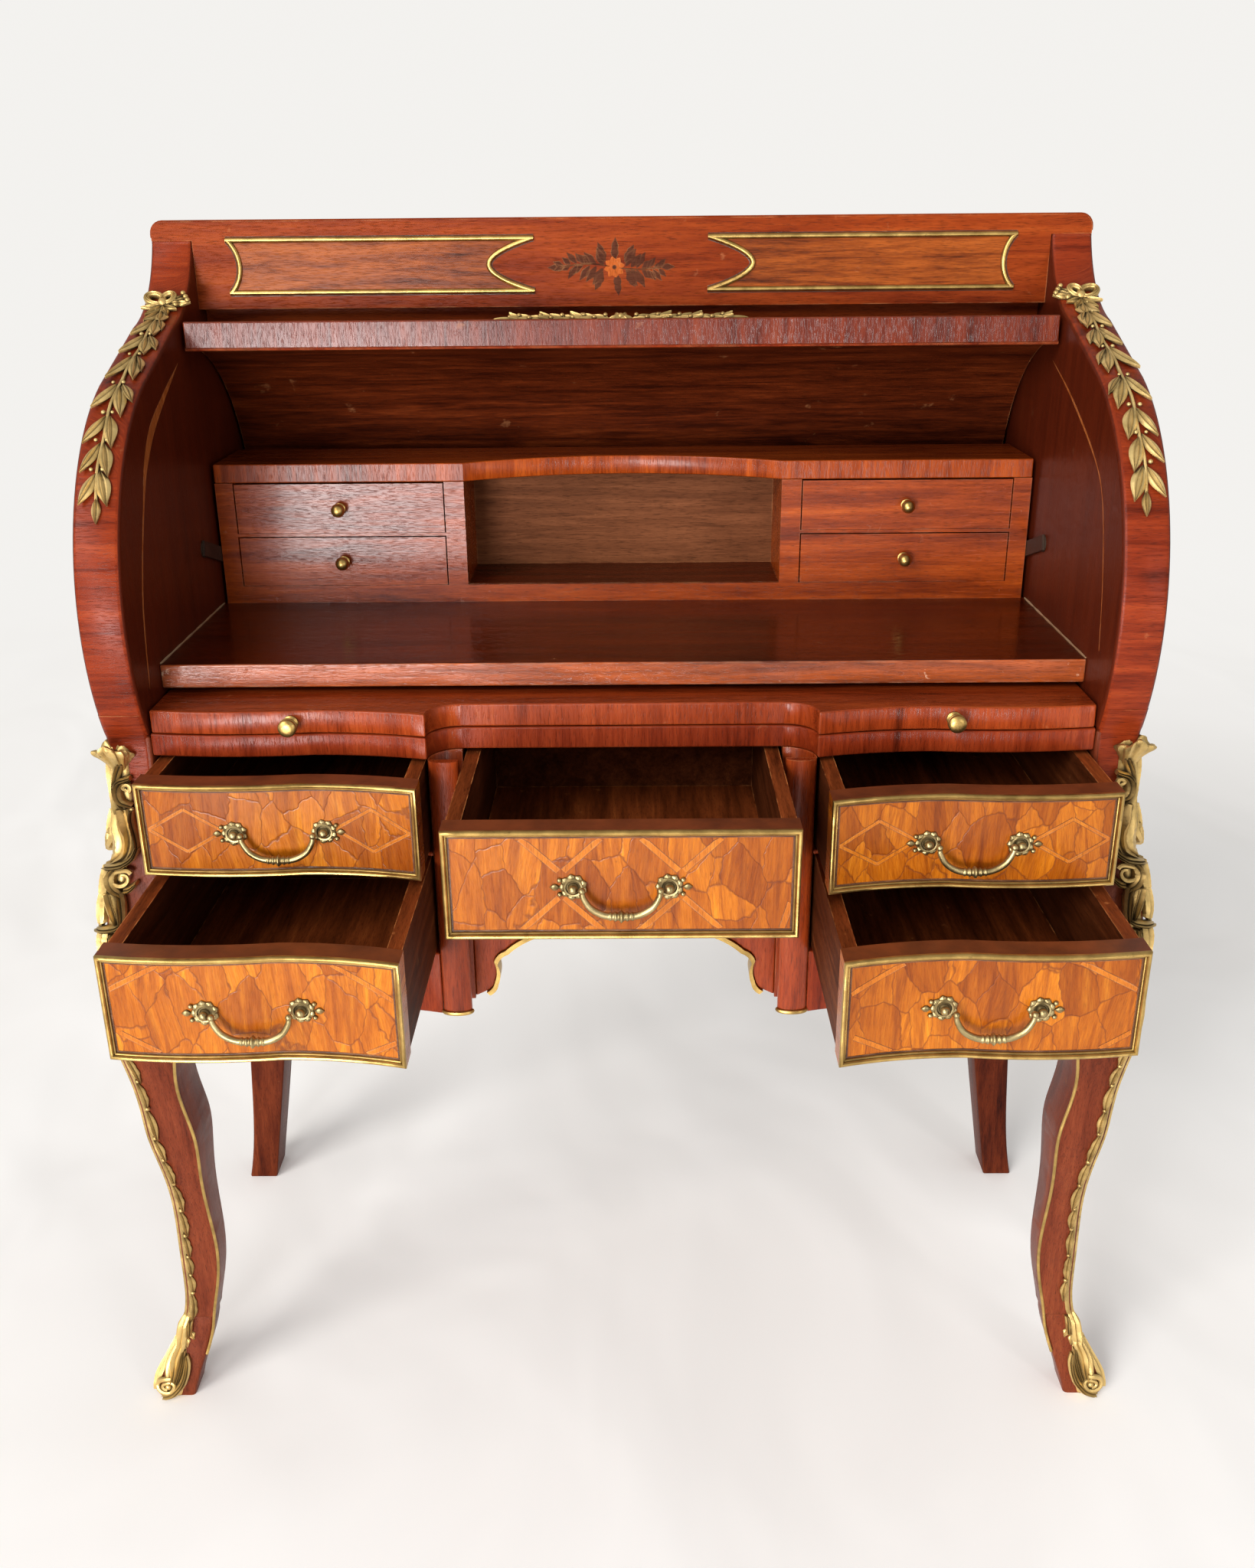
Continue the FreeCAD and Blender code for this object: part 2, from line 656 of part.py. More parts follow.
frames = []
for word, side in SIDES:
    low = frieze_low + S.panel_low
    high = low + S.panel_high
    w = S.strip_wide
    outer_loop = [
        (S.panel_in * side, low),
        (panel_out * side, low, S.panel_dish, -side),
        (panel_out * side, high),
        (S.panel_in * side, high, S.panel_bite, -side),
    ]
    tuck = w * 2.4
    inner_loop = [
        ((S.panel_in + tuck) * side, low + w),
        ((panel_out - w) * side, low + w, S.panel_dish, -side),
        ((panel_out - w) * side, high - w),
        ((S.panel_in + tuck) * side, high - w, S.panel_bite, -side),
    ]
    whole = outline("frieze_plate_" + word, [outer_loop], 0, frieze_back, 0, UPRIGHT_Y,
                    Vector(0, -1, 0), S.strip_thick)
    hole = outline("frieze_hole_" + word, [inner_loop], 0, frieze_back, 0, UPRIGHT_Y,
                   Vector(0, -1, 0), S.strip_thick)
    frames.append(cut("frieze_frame_" + word, whole, hole))
group("frieze_mouldings", frames)

# Fitment on the desk board
fit_low = board_top + S.fit_base
fit_head = board_top + S.fit_high
fit_under = fit_head - S.fit_top
fit_mid = (fit_low + fit_under) / 2
fit_rear = board_back - S.fit_back
loop = [
    (-fit_half, fit_front),
    (-S.fit_inner, fit_front, S.fit_recess, -1),
    (S.fit_inner, fit_front),
    (fit_half, fit_front),
    (fit_half, board_back),
    (-fit_half, board_back),
]
keep(outline("fitment_top", [loop], 0, 0, fit_under, FLAT, UP, S.fit_top), "fitment_top")
frame = [box("fitment_base", (-fit_half, fit_half), (fit_front, board_back),
             (board_top, fit_low))]
for word, side in SIDES:
    end = fit_half - S.fit_end
    mid = S.fit_inner + S.fit_post
    frame.append(box("fitment_end", (end * side, fit_half * side), (fit_front, board_back),
                     (fit_low, fit_under)))
    frame.append(box("fitment_post", (S.fit_inner * side, mid * side), (fit_front, fit_rear),
                     (fit_low, fit_under)))
    frame.append(box("fitment_shelf", (mid * side, end * side), (fit_front, fit_rear),
                     (fit_mid - S.fit_blade / 2, fit_mid + S.fit_blade / 2)))
frame.append(box("fitment_rear", (-(fit_half - S.fit_end), fit_half - S.fit_end),
                 (fit_rear, board_back), (fit_low, fit_under)))
group("fitment_frame", frame)

for word, side in SIDES:
    near = S.fit_inner + S.fit_post + S.small_gap
    far = fit_half - S.fit_end - S.small_gap
    for row, low, high in (("lower", fit_low, fit_mid - S.fit_blade / 2),
                           ("upper", fit_mid + S.fit_blade / 2, fit_under)):
        label = "small_drawer_%s_%s" % (row, word)
        low = low + S.run_gap
        high = high - S.small_gap
        rear = board_back - S.fit_back - S.small_short
        behind = fit_front + S.small_front
        t = S.small_wall
        parts = [
            box(label + "_front", (near * side, far * side), (fit_front, behind), (low, high)),
            box(label + "_near", (near * side, (near + t) * side), (behind, rear), (low, high)),
            box(label + "_far", ((far - t) * side, far * side), (behind, rear), (low, high)),
            box(label + "_rear", ((near + t) * side, (far - t) * side), (rear - t, rear),
                (low, high)),
            box(label + "_floor", ((near + t) * side, (far - t) * side), (behind, rear - t),
                (low, low + S.small_floor)),
        ]
        group(label, parts)
        x = (near + far) / 2 * side
        z = (low + high) / 2
        stem = rod(label + "_stem", S.stem_radius, S.stem_long, x, fit_front, z, FORWARD)
        ball = doc.addObject("Part::Sphere", label + "_ball")
        bind(ball, "Radius", S.ball_radius)
        place(ball, x, fit_front - S.stem_long - S.ball_radius * 0.8, z)
        keep(fuse("knob_%s_%s" % (row, word), stem, ball), "knob_%s_%s" % (row, word))

# Cylinder lid
lid_start = S.lid_open.value - S.lid_sweep.value
panel_sweep = S.lid_sweep - S.rail_sweep
lid_wide = lid_half * 2
keep(sector("lid_panel", S.lid_inner, S.lid_outer, -lid_half, lid_wide, lid_back, lid_axis,
            lid_start, panel_sweep), "lid_panel")
keep(sector("lid_rail", S.rail_inner, S.rail_outer, -lid_half, lid_wide, lid_back, lid_axis,
            S.lid_open.value - S.rail_sweep.value, S.rail_sweep), "lid_rail")
keep(sector("lid_mount", S.lid_outer, S.lid_outer + S.lid_mount_thick, -S.lid_mount_half,
            S.lid_mount_half * 2, lid_back, lid_axis,
            S.lid_open.value - S.rail_sweep.value - S.lid_mount_sweep.value - 1.5,
            S.lid_mount_sweep), "lid_mount")
arms = []
pivots = []
arm_turn = Rotation(Vector(1, 0, 0), S.arm_angle.value)
for word, side in SIDES:
    arm = doc.addObject("Part::Box", "lid_arm_" + word)
    bind(arm, "Length", S.arm_thick)
    bind(arm, "Width", S.arm_long + S.arm_wide / 2)
    bind(arm, "Height", S.arm_wide)
    shift = arm_turn.multVec(Vector(0, -S.arm_wide.value / 2, -S.arm_wide.value / 2))
    start = lid_half if side > 0 else -lid_half - S.arm_thick
    place(arm, start, lid_back + shift.y, lid_axis + shift.z, arm_turn)
    arms.append(arm)
    start = inner - S.pivot_thick if side > 0 else -inner
    pivots.append(rod("lid_pivot_" + word, S.pivot_radius, S.pivot_thick, start, lid_back,
                      lid_axis, UPRIGHT_X))
group("lid_arms", arms)
group("lid_pivots", pivots)

# Writing slide
keep(full_front("writing_slide", inner - S.side_gap, slide_back, slide_low, slide_top),
     "writing_slide")
slide = MADE["writing_slide"]
knobs = []
for word, side in SIDES:
    z = (slide_low + slide_top) / 2
    x = (middle - S.knob_set) * side
    stem = rod("slide_stem_" + word, S.neck_thick, S.neck_long + S.wave_out, x, S.wave_out, z,
               FORWARD)
    stem = cut("slide_stem_cut_" + word, stem, slide)
    head_disc = rod("slide_disc_" + word, S.disc_radius, S.disc_long, x, -S.neck_long, z, FORWARD)
    knobs.append(fuse("slide_knob_" + word, stem, head_disc))
group("slide_knobs", knobs)


# Drawers
def handle(label, front, x, face, z, level):
    """Rosettes with posts, cut to the front, and the bail between them."""
    rosettes = []
    for turn in (-1, 1):
        at = x + S.handle_span * turn
        disc = rod(label + "_disc", S.rosette_radius, S.rosette_thick + level, at,
                   face + level, z, FORWARD)
        stud = rod(label + "_stud", S.post_radius, S.post_long + level, at, face + level, z,
                   FORWARD)
        whole = fuse(label + "_rosette", disc, stud)
        rosettes.append(cut(label + "_rosette_cut", whole, front))
    chord = S.handle_span - S.bail_inset
    sweep_radius = (chord * chord + S.bail_sag * S.bail_sag) / (S.bail_sag * 2)
    spread = math.degrees(math.asin(chord.value / sweep_radius.value))
    bail = doc.addObject("Part::Torus", label + "_bail")
    bind(bail, "Radius1", sweep_radius)
    bind(bail, "Radius2", S.bail_radius)
    bail.Angle3 = 2 * spread
    turn = UPRIGHT_Y.multiply(Rotation(Vector(0, 0, 1), 270 - spread))
    place(bail, x, face - S.bail_set, z + sweep_radius - S.bail_sag, turn)
    keep(bail, label + "_bail")
    return rosettes


def drawer(label, front, x0, x1, y0, y1, rear, low, high):
    """Boards of a drawer behind its front; y0 and y1 are the ends of the sides."""
    t = S.wall_thick
    left = cut(label + "_side_a", box(label + "_a", (x0, x0 + t), (y0, rear), (low, high)), front)
    right = cut(label + "_side_b", box(label + "_b", (x1 - t, x1), (y1, rear), (low, high)), front)
    end = box(label + "_end", (x0 + t, x1 - t), (rear - t, rear), (low, high))
    start = y0 if y0.value < y1.value else y1
    floor = box(label + "_f", (x0 + t, x1 - t), (start, rear - t), (low, low + S.floor_thick))
    group(label + "_box", [left, right, end, cut(label + "_floor", floor, front)])


for word, side in SIDES:
    for row, low, high, pull in (
            ("upper", upper_low, upper_top, getattr(S, "pull_upper_" + word)),
            ("lower", lower_low, lower_top, getattr(S, "pull_lower_" + word))):
        label = "%s_%s" % (row, word)
        near = post + S.side_gap
        far = inner - S.side_gap
        shift = -pull
        front = keep(wave_strip(label + "_front", side, near, far, shift, S.front_thick, low,
                                high), label + "_front")
        inset = S.side_gap
        x0, x1 = (-far + inset, -near - inset) if side < 0 else (near + inset, far - inset)
        deep = shift + S.front_thick
        y_far, y_near = deep - 2, deep - S.wave_out - 2
        y0, y1 = (y_far, y_near) if side < 0 else (y_near, y_far)
        drawer(label, front, x0, x1, y0, y1, drawer_back - pull, low, high - 2)
        m = S.mould_wide
        bent = []
        for piece, a, b in (("_top", high - m, high), ("_foot", low, low + m)):
            bent.append(wave_strip(label + piece, side, near, far, shift - S.mould_thick,
                                   S.mould_thick, a, b))
        for piece, a, b in (("_near", near, near + m), ("_far", far - m, far)):
            sheet_strip = wave_strip(label + piece + "_bent", side, near, far,
                                     shift - S.mould_thick, S.mould_thick, low + m, high - m)
            clip = box(label + piece + "_clip", (a * side, b * side), (shift - 40, shift + 20),
                       (low + m, high - m))
            bent.append(common(label + piece, sheet_strip, clip))
        z = (low + high) / 2 - S.handle_drop
        rosettes = handle(label, front, middle * side, shift - S.wave_turn - 3, z, term(8))
        group(label + "_mounts", bent + rosettes)

shift = S.centre_set - S.pull_centre
high = centre_low + S.centre_front_high
side_x = S.knee_half - S.side_gap
front = keep(box("centre_front", (-side_x, side_x), (shift, shift + S.front_thick),
                 (centre_low, high)), "centre_front")
deep = shift + S.front_thick
drawer("centre", front, -side_x + S.side_gap, side_x - S.side_gap, deep, deep,
       drawer_back - S.pull_centre, centre_low, high - 2)
m = S.mould_wide
face = shift - S.mould_thick
bars = [
    box("centre_top", (-side_x, side_x), (face, shift), (high - m, high)),
    box("centre_foot", (-side_x, side_x), (face, shift), (centre_low, centre_low + m)),
    box("centre_near", (-side_x, -side_x + m), (face, shift), (centre_low + m, high - m)),
    box("centre_far", (side_x - m, side_x), (face, shift), (centre_low + m, high - m)),
]
z = (centre_low + high) / 2 - S.handle_drop
rosettes = handle("centre", front, term(0), shift, z, term(2))
group("centre_mounts", bars + rosettes)

doc.recompute()
faults = []
for obj in doc.Objects:
    if "Invalid" in obj.State or "Error" in obj.State:
        faults.append(obj.Name + " does not recompute")
for label, obj in MADE.items():
    if obj.Shape.isNull() or not obj.Shape.isValid() or not obj.Shape.Solids:
        faults.append(label + " has no valid solid")
if faults:
    raise RuntimeError("; ".join(faults))
os.makedirs("parts", exist_ok=True)
for label, obj in MADE.items():
    obj.Shape.exportStep("parts/%s.step" % label)
print(len(MADE), "pieces written")
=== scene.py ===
import json
import random
from math import copysign, cos, exp, pi, radians, sin, sqrt

import bmesh
import bpy
from mathutils import Matrix, Vector


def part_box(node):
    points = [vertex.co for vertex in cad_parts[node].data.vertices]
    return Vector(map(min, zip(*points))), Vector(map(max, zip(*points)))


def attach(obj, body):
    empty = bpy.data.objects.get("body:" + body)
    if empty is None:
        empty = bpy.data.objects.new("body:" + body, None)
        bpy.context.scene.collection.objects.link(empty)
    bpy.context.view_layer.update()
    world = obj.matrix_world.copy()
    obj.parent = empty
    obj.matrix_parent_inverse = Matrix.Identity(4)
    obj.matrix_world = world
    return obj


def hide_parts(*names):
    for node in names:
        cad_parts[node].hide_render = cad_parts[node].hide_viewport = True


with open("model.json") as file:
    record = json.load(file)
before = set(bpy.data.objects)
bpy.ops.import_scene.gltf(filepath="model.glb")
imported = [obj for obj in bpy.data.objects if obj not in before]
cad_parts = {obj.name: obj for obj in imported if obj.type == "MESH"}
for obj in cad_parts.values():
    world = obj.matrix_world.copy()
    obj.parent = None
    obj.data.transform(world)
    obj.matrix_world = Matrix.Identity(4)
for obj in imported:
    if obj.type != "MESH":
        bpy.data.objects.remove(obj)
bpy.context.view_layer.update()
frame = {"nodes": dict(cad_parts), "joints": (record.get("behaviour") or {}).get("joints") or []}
NODES = frame["nodes"]
CARCASS = "carcass"
MM = 0.001

# Driving sizes of the case in metres, in the desk's own frame
INNER, CASE_HALF = (p.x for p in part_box("right_side"))
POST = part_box("right_divider")[1].x
WAVE_OUT, WAVE_TURN, WAVE_SET = 0.015, 0.002, 0.0185
WAVE_HOLLOW, WAVE_ROUND = 0.484, 0.360
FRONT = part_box("slide_rail")[0].y + WAVE_OUT
FRIEZE_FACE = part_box("frieze_rail")[0].y


# Meshes. Places in space are in metres; sizes of carved and turned work, and places on the
# surface that it is laid on, are in millimetres.

SHARP_EDGE = radians(40)


def add(name, data):
    """A new object in the scene."""
    obj = bpy.data.objects.new(name, data)
    bpy.context.scene.collection.objects.link(obj)
    return obj


def put(target, **settings):
    """Set several properties of one thing."""
    for key, value in settings.items():
        setattr(target, key, value)
    return target


def shares(count):
    """Even steps from 0 to 1."""
    return [k / count for k in range(count + 1)]


def turns(count):
    """Angles of a full turn in even steps."""
    return [2 * pi * k / count for k in range(count)]


def heading(line, i):
    """Direction of a line at one of its points."""
    return (line[min(i + 1, len(line) - 1)] - line[max(i - 1, 0)]).normalized()


def mm_box(name):
    """Corners of a node's box in millimetres."""
    return [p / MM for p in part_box(name)]


class Shape:
    """Vertices and faces of one mesh, gathered from simple parts."""

    def __init__(self):
        self.points = []
        self.faces = []

    def rings(self, rows, ends=True):
        """Skin closed rows of equal length, and cap both ends."""
        start, wide = len(self.points), len(rows[0])
        for row in rows:
            self.points.extend(row)
        for a in range(start, start + (len(rows) - 1) * wide, wide):
            for j in range(wide):
                k = (j + 1) % wide
                self.faces.append((a + j, a + k, a + wide + k, a + wide + j))
        if ends:
            top = len(self.points) - wide
            self.faces.append(tuple(start + j for j in reversed(range(wide))))
            self.faces.append(tuple(top + j for j in range(wide)))

    def piece(self, name, body, slot, material, *replaces):
        mesh = bpy.data.meshes.new(name)
        mesh.from_pydata([tuple(p) for p in self.points], [], self.faces)
        work = bmesh.new()
        work.from_mesh(mesh)
        bmesh.ops.recalc_face_normals(work, faces=work.faces)
        for edge in work.edges:
            if len(edge.link_faces) == 2:
                edge.smooth = edge.calc_face_angle(0.0) < SHARP_EDGE
        for face in work.faces:
            face.smooth = True
        work.to_mesh(mesh)
        work.free()
        mesh.materials.append(material)
        obj = add(name, mesh)
        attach(obj, body)
        if replaces:
            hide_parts(*replaces)


def smooth_line(points, steps):
    """Points on a Catmull-Rom line through the given points."""
    points = [Vector(p) for p in points]
    ends = [points[0] * 2 - points[1]] + points + [points[-1] * 2 - points[-2]]
    line = []
    for i in range(1, len(ends) - 2):
        a, b, c, d = ends[i - 1:i + 3]
        for t in shares(steps)[:-1]:
            line.append(0.5 * (2 * b + (c - a) * t + (2 * a - 5 * b + 4 * c - d) * t * t
                               + (3 * b - a - 3 * c + d) * t ** 3))
    line.append(points[-1])
    return line


def tube(shape, line, radius, sides=8, up=(0, 0, 1)):
    """A round bar along a line; radius is a function of the share of the way."""
    rows = []
    side = Vector(up)
    for i, p in enumerate(line):
        ahead = heading(line, i)
        side = side - ahead * side.dot(ahead)
        side.normalize()
        across = ahead.cross(side)
        r = radius(i / (len(line) - 1)) * MM
        rows.append([p + (across * cos(t) + side * sin(t)) * r for t in turns(sides)])
    shape.rings(rows)


def lathe(shape, profile, centre, axis=(0, -1, 0), sides=20):
    """Turn (radius, distance along the axis) pairs about an axis."""
    axis = Vector(axis).normalized()
    a = axis.orthogonal().normalized()
    b = axis.cross(a)
    shape.rings([[Vector(centre) + axis * (d * MM) + (a * cos(t) + b * sin(t)) * (max(r, 0.01) * MM)
                  for t in turns(sides)] for r, d in profile])


def ball(shape, centre, r, axis=(0, -1, 0), squash=1.0):
    """A turned ball, flattened along its axis."""
    profile = [(r * sin(pi * t), -r * squash * cos(pi * t)) for t in shares(7)]
    lathe(shape, profile, centre, axis, 12)


def frond(shape, wrap, line, width, thick, rib=0.25, ribs=0.0, sink=0.0, base=-0.6):
    """A raised strap along (along, across, lift) points; wrap takes such a triple to a point in space.
    rib and ribs raise the middle and the side ribs, base is the underside's level, and sink is the
    share of the lift that the underside follows."""
    last = len(line) - 1
    profile_steps = 14
    widest = max(width(t) for t in shares(last))
    rows = []
    for i, (a, b, lift) in enumerate(line):
        before, after = line[max(i - 1, 0)], line[min(i + 1, last)]
        ahead = Vector((after[0] - before[0], after[1] - before[1])).normalized()
        half = width(i / last) / 2
        swell = sqrt(2 * half / widest)
        ring = []
        for v in (2 * t - 1 for t in shares(profile_steps)):
            form = 0.6 * sqrt(max(1 - v * v, 0.0)) + rib * exp(-(v / 0.22) ** 2)
            form += ribs * cos(3.5 * pi * v) * (1 - abs(v))
            ring.append((v, lift + thick * (0.25 + form * swell)))
        ring += [(v, base + lift * sink) for v in (0.8, 0.0, -0.8)]
        rows.append([wrap(a - ahead.y * v * half, b + ahead.x * v * half, h) for v, h in ring])
    shape.rings(rows)


def fronds(shape, wrap, table, steps, thick, rib, ribs, notch=0.0):
    """Straps along the table's lines, each with widths at its start, middle and end."""
    for points, (start, middle, end) in table:
        def width(u, a=start, b=2 * middle - (start + end) / 2, c=end):
            bow = a * (1 - u) ** 2 + 2 * u * (1 - u) * b + c * u * u
            return bow * (1 - notch * abs(sin(9 * pi * u)))

        frond(shape, wrap, smooth_line(points, steps), width, thick, rib, ribs)


def leaf(shape, wrap, a, b, angle, length, width, thick, rib=0.25, lobes=0, curl=0.0, ribs=0.0,
         blunt=0.8, steps=12, base=-0.6):
    """A straight pointed frond from (a, b), whose edge has lobes and whose tip curls off the surface."""
    def wide(u):
        spread = sin(pi * min(max(u, 0.012), 0.988) ** blunt)
        if lobes:
            spread *= 0.78 + 0.22 * abs(cos(pi * lobes * u))
        return width * spread

    line = [(a + length * u * cos(angle), b + length * u * sin(angle), curl * u * u) for u in shares(steps)]
    frond(shape, wrap, line, wide, thick, rib, ribs, 0.9, base)


def serpentine(near, far):
    """Set-back of the serpentine front, as a function of the distance from the middle."""
    mid = (POST + INNER) / 2 - WAVE_SET

    def centre(p, q, radius, way):
        chord = q - p
        half = chord.length / 2
        normal = Vector((-chord.y, chord.x)).normalized()
        normal *= way if normal.y > 0 else -way
        return (p + q) / 2 + normal * sqrt(radius * radius - half * half)

    turn = Vector((mid, -WAVE_TURN))
    swell = centre(Vector((far, 0)), turn, WAVE_HOLLOW, 1)
    sweep = centre(turn, Vector((near, -WAVE_OUT)), WAVE_ROUND, -1)

    def depth(x):
        x = abs(x)
        if x > mid:
            return swell.y - sqrt(WAVE_HOLLOW ** 2 - (x - swell.x) ** 2)
        return sweep.y + sqrt(WAVE_ROUND ** 2 - (x - sweep.x) ** 2)

    return depth


# Materials

class Graph:
    """A node material under construction."""

    def __init__(self, name, **uniform):
        self.material = bpy.data.materials.new(name)
        self.material.use_nodes = True
        self.tree = self.material.node_tree
        self.shader = self.tree.nodes["Principled BSDF"]
        for socket, value in uniform.items():
            self.feed(self.shader.inputs[socket.replace("_", " ")], value)

    def feed(self, socket, value):
        """Link a socket or set its value; a colour may leave out its alpha."""
        if isinstance(value, bpy.types.NodeSocket):
            self.tree.links.new(value, socket)
        elif socket.type == "RGBA" and len(value) == 3:
            socket.default_value = (*value, 1.0)
        else:
            socket.default_value = value

    def node(self, kind, inputs=None, **settings):
        """A new node, its settings, and its inputs fed by name or number."""
        made = put(self.tree.nodes.new("ShaderNode" + kind), **settings)
        for key, value in (inputs or {}).items():
            self.feed(made.inputs[key], value)
        return made

    def place(self, what="Object"):
        return self.node("TexCoord").outputs[what]

    def stretch(self, vector, scale, turn=(0, 0, 0)):
        return self.node("Mapping", {"Vector": vector, "Scale": scale, "Rotation": turn}).outputs[0]

    def noise(self, vector, scale, detail=4.0, rough=0.5, bend=0.0, output="Fac"):
        return self.node("TexNoise", {"Vector": vector, "Scale": scale, "Detail": detail, "Roughness": rough,
                                      "Distortion": bend}).outputs[output]

    def cells(self, vector, scale, feature, output):
        return self.node("TexVoronoi", {"Vector": vector, "Scale": scale}, feature=feature).outputs[output]

    def math(self, how, a, b=0.0):
        return self.node("Math", {0: a, 1: b}, operation=how).outputs[0]

    def plus(self, a, b):
        return self.math("ADD", a, b)

    def times(self, a, b):
        return self.math("MULTIPLY", a, b)

    def inverse(self, a):
        return self.math("SUBTRACT", 1.0, a)

    def span(self, value, low, high, to_low=0.0, to_high=1.0):
        return self.node("MapRange", dict(enumerate((value, low, high, to_low, to_high)))).outputs[0]

    def ramp(self, fac, stops):
        made = self.node("ValToRGB", {0: fac})
        band = made.color_ramp
        while len(band.elements) < len(stops):
            band.elements.new(0.5)
        for element, (spot, colour) in zip(band.elements, stops):
            element.position = spot
            element.color = (*colour, 1.0)
        return made.outputs[0]

    def mix(self, fac, a, b, how="MIX"):
        return self.node("Mix", {0: fac, 6: a, 7: b}, data_type="RGBA", blend_type=how).outputs[2]

    def choose(self, fac, a, b):
        """Mix of two vectors."""
        return self.node("Mix", {0: fac, 4: a, 5: b}, data_type="VECTOR").outputs[1]

    def facing(self, axis, low=0.55, high=0.75):
        """1 where a face looks along an axis of its own object, either way."""
        parts = self.node("SeparateXYZ", {0: self.place("Normal")})
        return self.span(self.math("ABSOLUTE", parts.outputs[axis]), low, high)

    def edges(self):
        """1 along convex or hollow edges, within a small radius of them."""
        rounded = self.node("Bevel", {"Radius": 0.0016}, samples=4)
        dot = self.node("VectorMath", {0: rounded.outputs[0], 1: self.node("NewGeometry").outputs["Normal"]},
                        operation="DOT_PRODUCT")
        return self.span(dot.outputs["Value"], 0.80, 0.995, 1.0, 0.0)

    def finish(self, colour, rough, height, strength=0.25, distance=0.0006):
        bump = self.node("Bump", {"Strength": strength, "Distance": distance, "Height": height})
        for socket, value in (("Base Color", colour), ("Roughness", rough), ("Normal", bump.outputs[0])):
            self.feed(self.shader.inputs[socket], value)
        return self.material


# Stretch of the pattern for a grain along each axis
GRAIN = {"X": (1.0, 14.0, 14.0), "Y": (14.0, 1.0, 14.0), "Z": (14.0, 14.0, 1.0)}


def wood_look(g, vector, tones, figure=1.0, dark=0.55):
    """Colour, fine streaks and pore height of straight-grained veneer."""
    broad = g.noise(vector, 5.0 * figure, 5.0, 0.55, 0.7)
    fine = g.noise(vector, 28.0 * figure, 4.0, 0.6, 0.3)
    patch = g.noise(g.place(), 6.0, 3.0)
    blend = g.plus(g.plus(g.times(broad, 0.55), g.times(fine, 0.28)), g.times(patch, 0.22))
    colour = g.ramp(blend, [(0.34 + 0.36 * t, tone) for t, tone in zip(shares(len(tones) - 1), tones)])
    pores = g.span(g.noise(vector, 120.0, 2.0), 0.30, 0.46)
    colour = g.mix(g.inverse(pores), colour, g.mix(1.0, colour, (dark,) * 3, "MULTIPLY"))
    return colour, fine, pores


def wood(name, tones, grain="X", cross=None, gloss=0.30, coat=0.08, figure=1.0, turn=(0, 0, 0),
         wear=(0.58, 0.25, 0.10), painted_light_by_face=None, shine=0.28, painted_shade_calm=None):
    """Polished veneer; faces that look to the front take the cross grain. The colour of faces that look
    along an axis can be multiplied, painting light on them where it is raised and shade where it is
    lowered, and such faces can be evened out toward one colour, a dark tone that paints shade."""
    g = Graph(name, Coat_Weight=coat, Coat_Roughness=0.14, Specular_IOR_Level=shine)
    vector = g.stretch(g.place(), GRAIN[grain], turn)
    if cross:
        vector = g.choose(g.facing("Y"), vector, g.stretch(g.place(), GRAIN[cross], turn))
    colour, fine, pores = wood_look(g, vector, tones, figure)
    scuff = g.span(g.noise(g.stretch(g.place(), (30.0, 30.0, 30.0)), 1.6, 5.0, 0.65), 0.66, 0.74)
    colour = g.mix(g.times(scuff, 0.22), colour, wear)
    rub = g.span(g.noise(g.place(), 45.0, 4.0, 0.6), 0.42, 0.62)
    colour = g.mix(g.times(g.times(g.edges(), rub), 0.55), colour, wear)
    # Faces that look along one axis are multiplied in colour: painted light where made lighter, painted shade
    # where made darker.
    if painted_light_by_face:
        axis, painted_light_factor = painted_light_by_face
        colour = g.mix(g.facing(axis), colour, g.mix(1.0, colour, painted_light_factor, "MULTIPLY"))
    # Faces that look along one axis are pulled toward one dark tone: painted shade.
    if painted_shade_calm:
        axis, painted_shade_tone, share = painted_shade_calm
        colour = g.mix(g.times(g.facing(axis), share), colour, painted_shade_tone)
    rough = g.span(g.plus(g.times(fine, 0.6), g.times(scuff, 0.5)), 0.1, 0.9, gloss - 0.07, gloss + 0.14)
    return g.finish(colour, rough, g.plus(pores, g.times(fine, 0.6)))


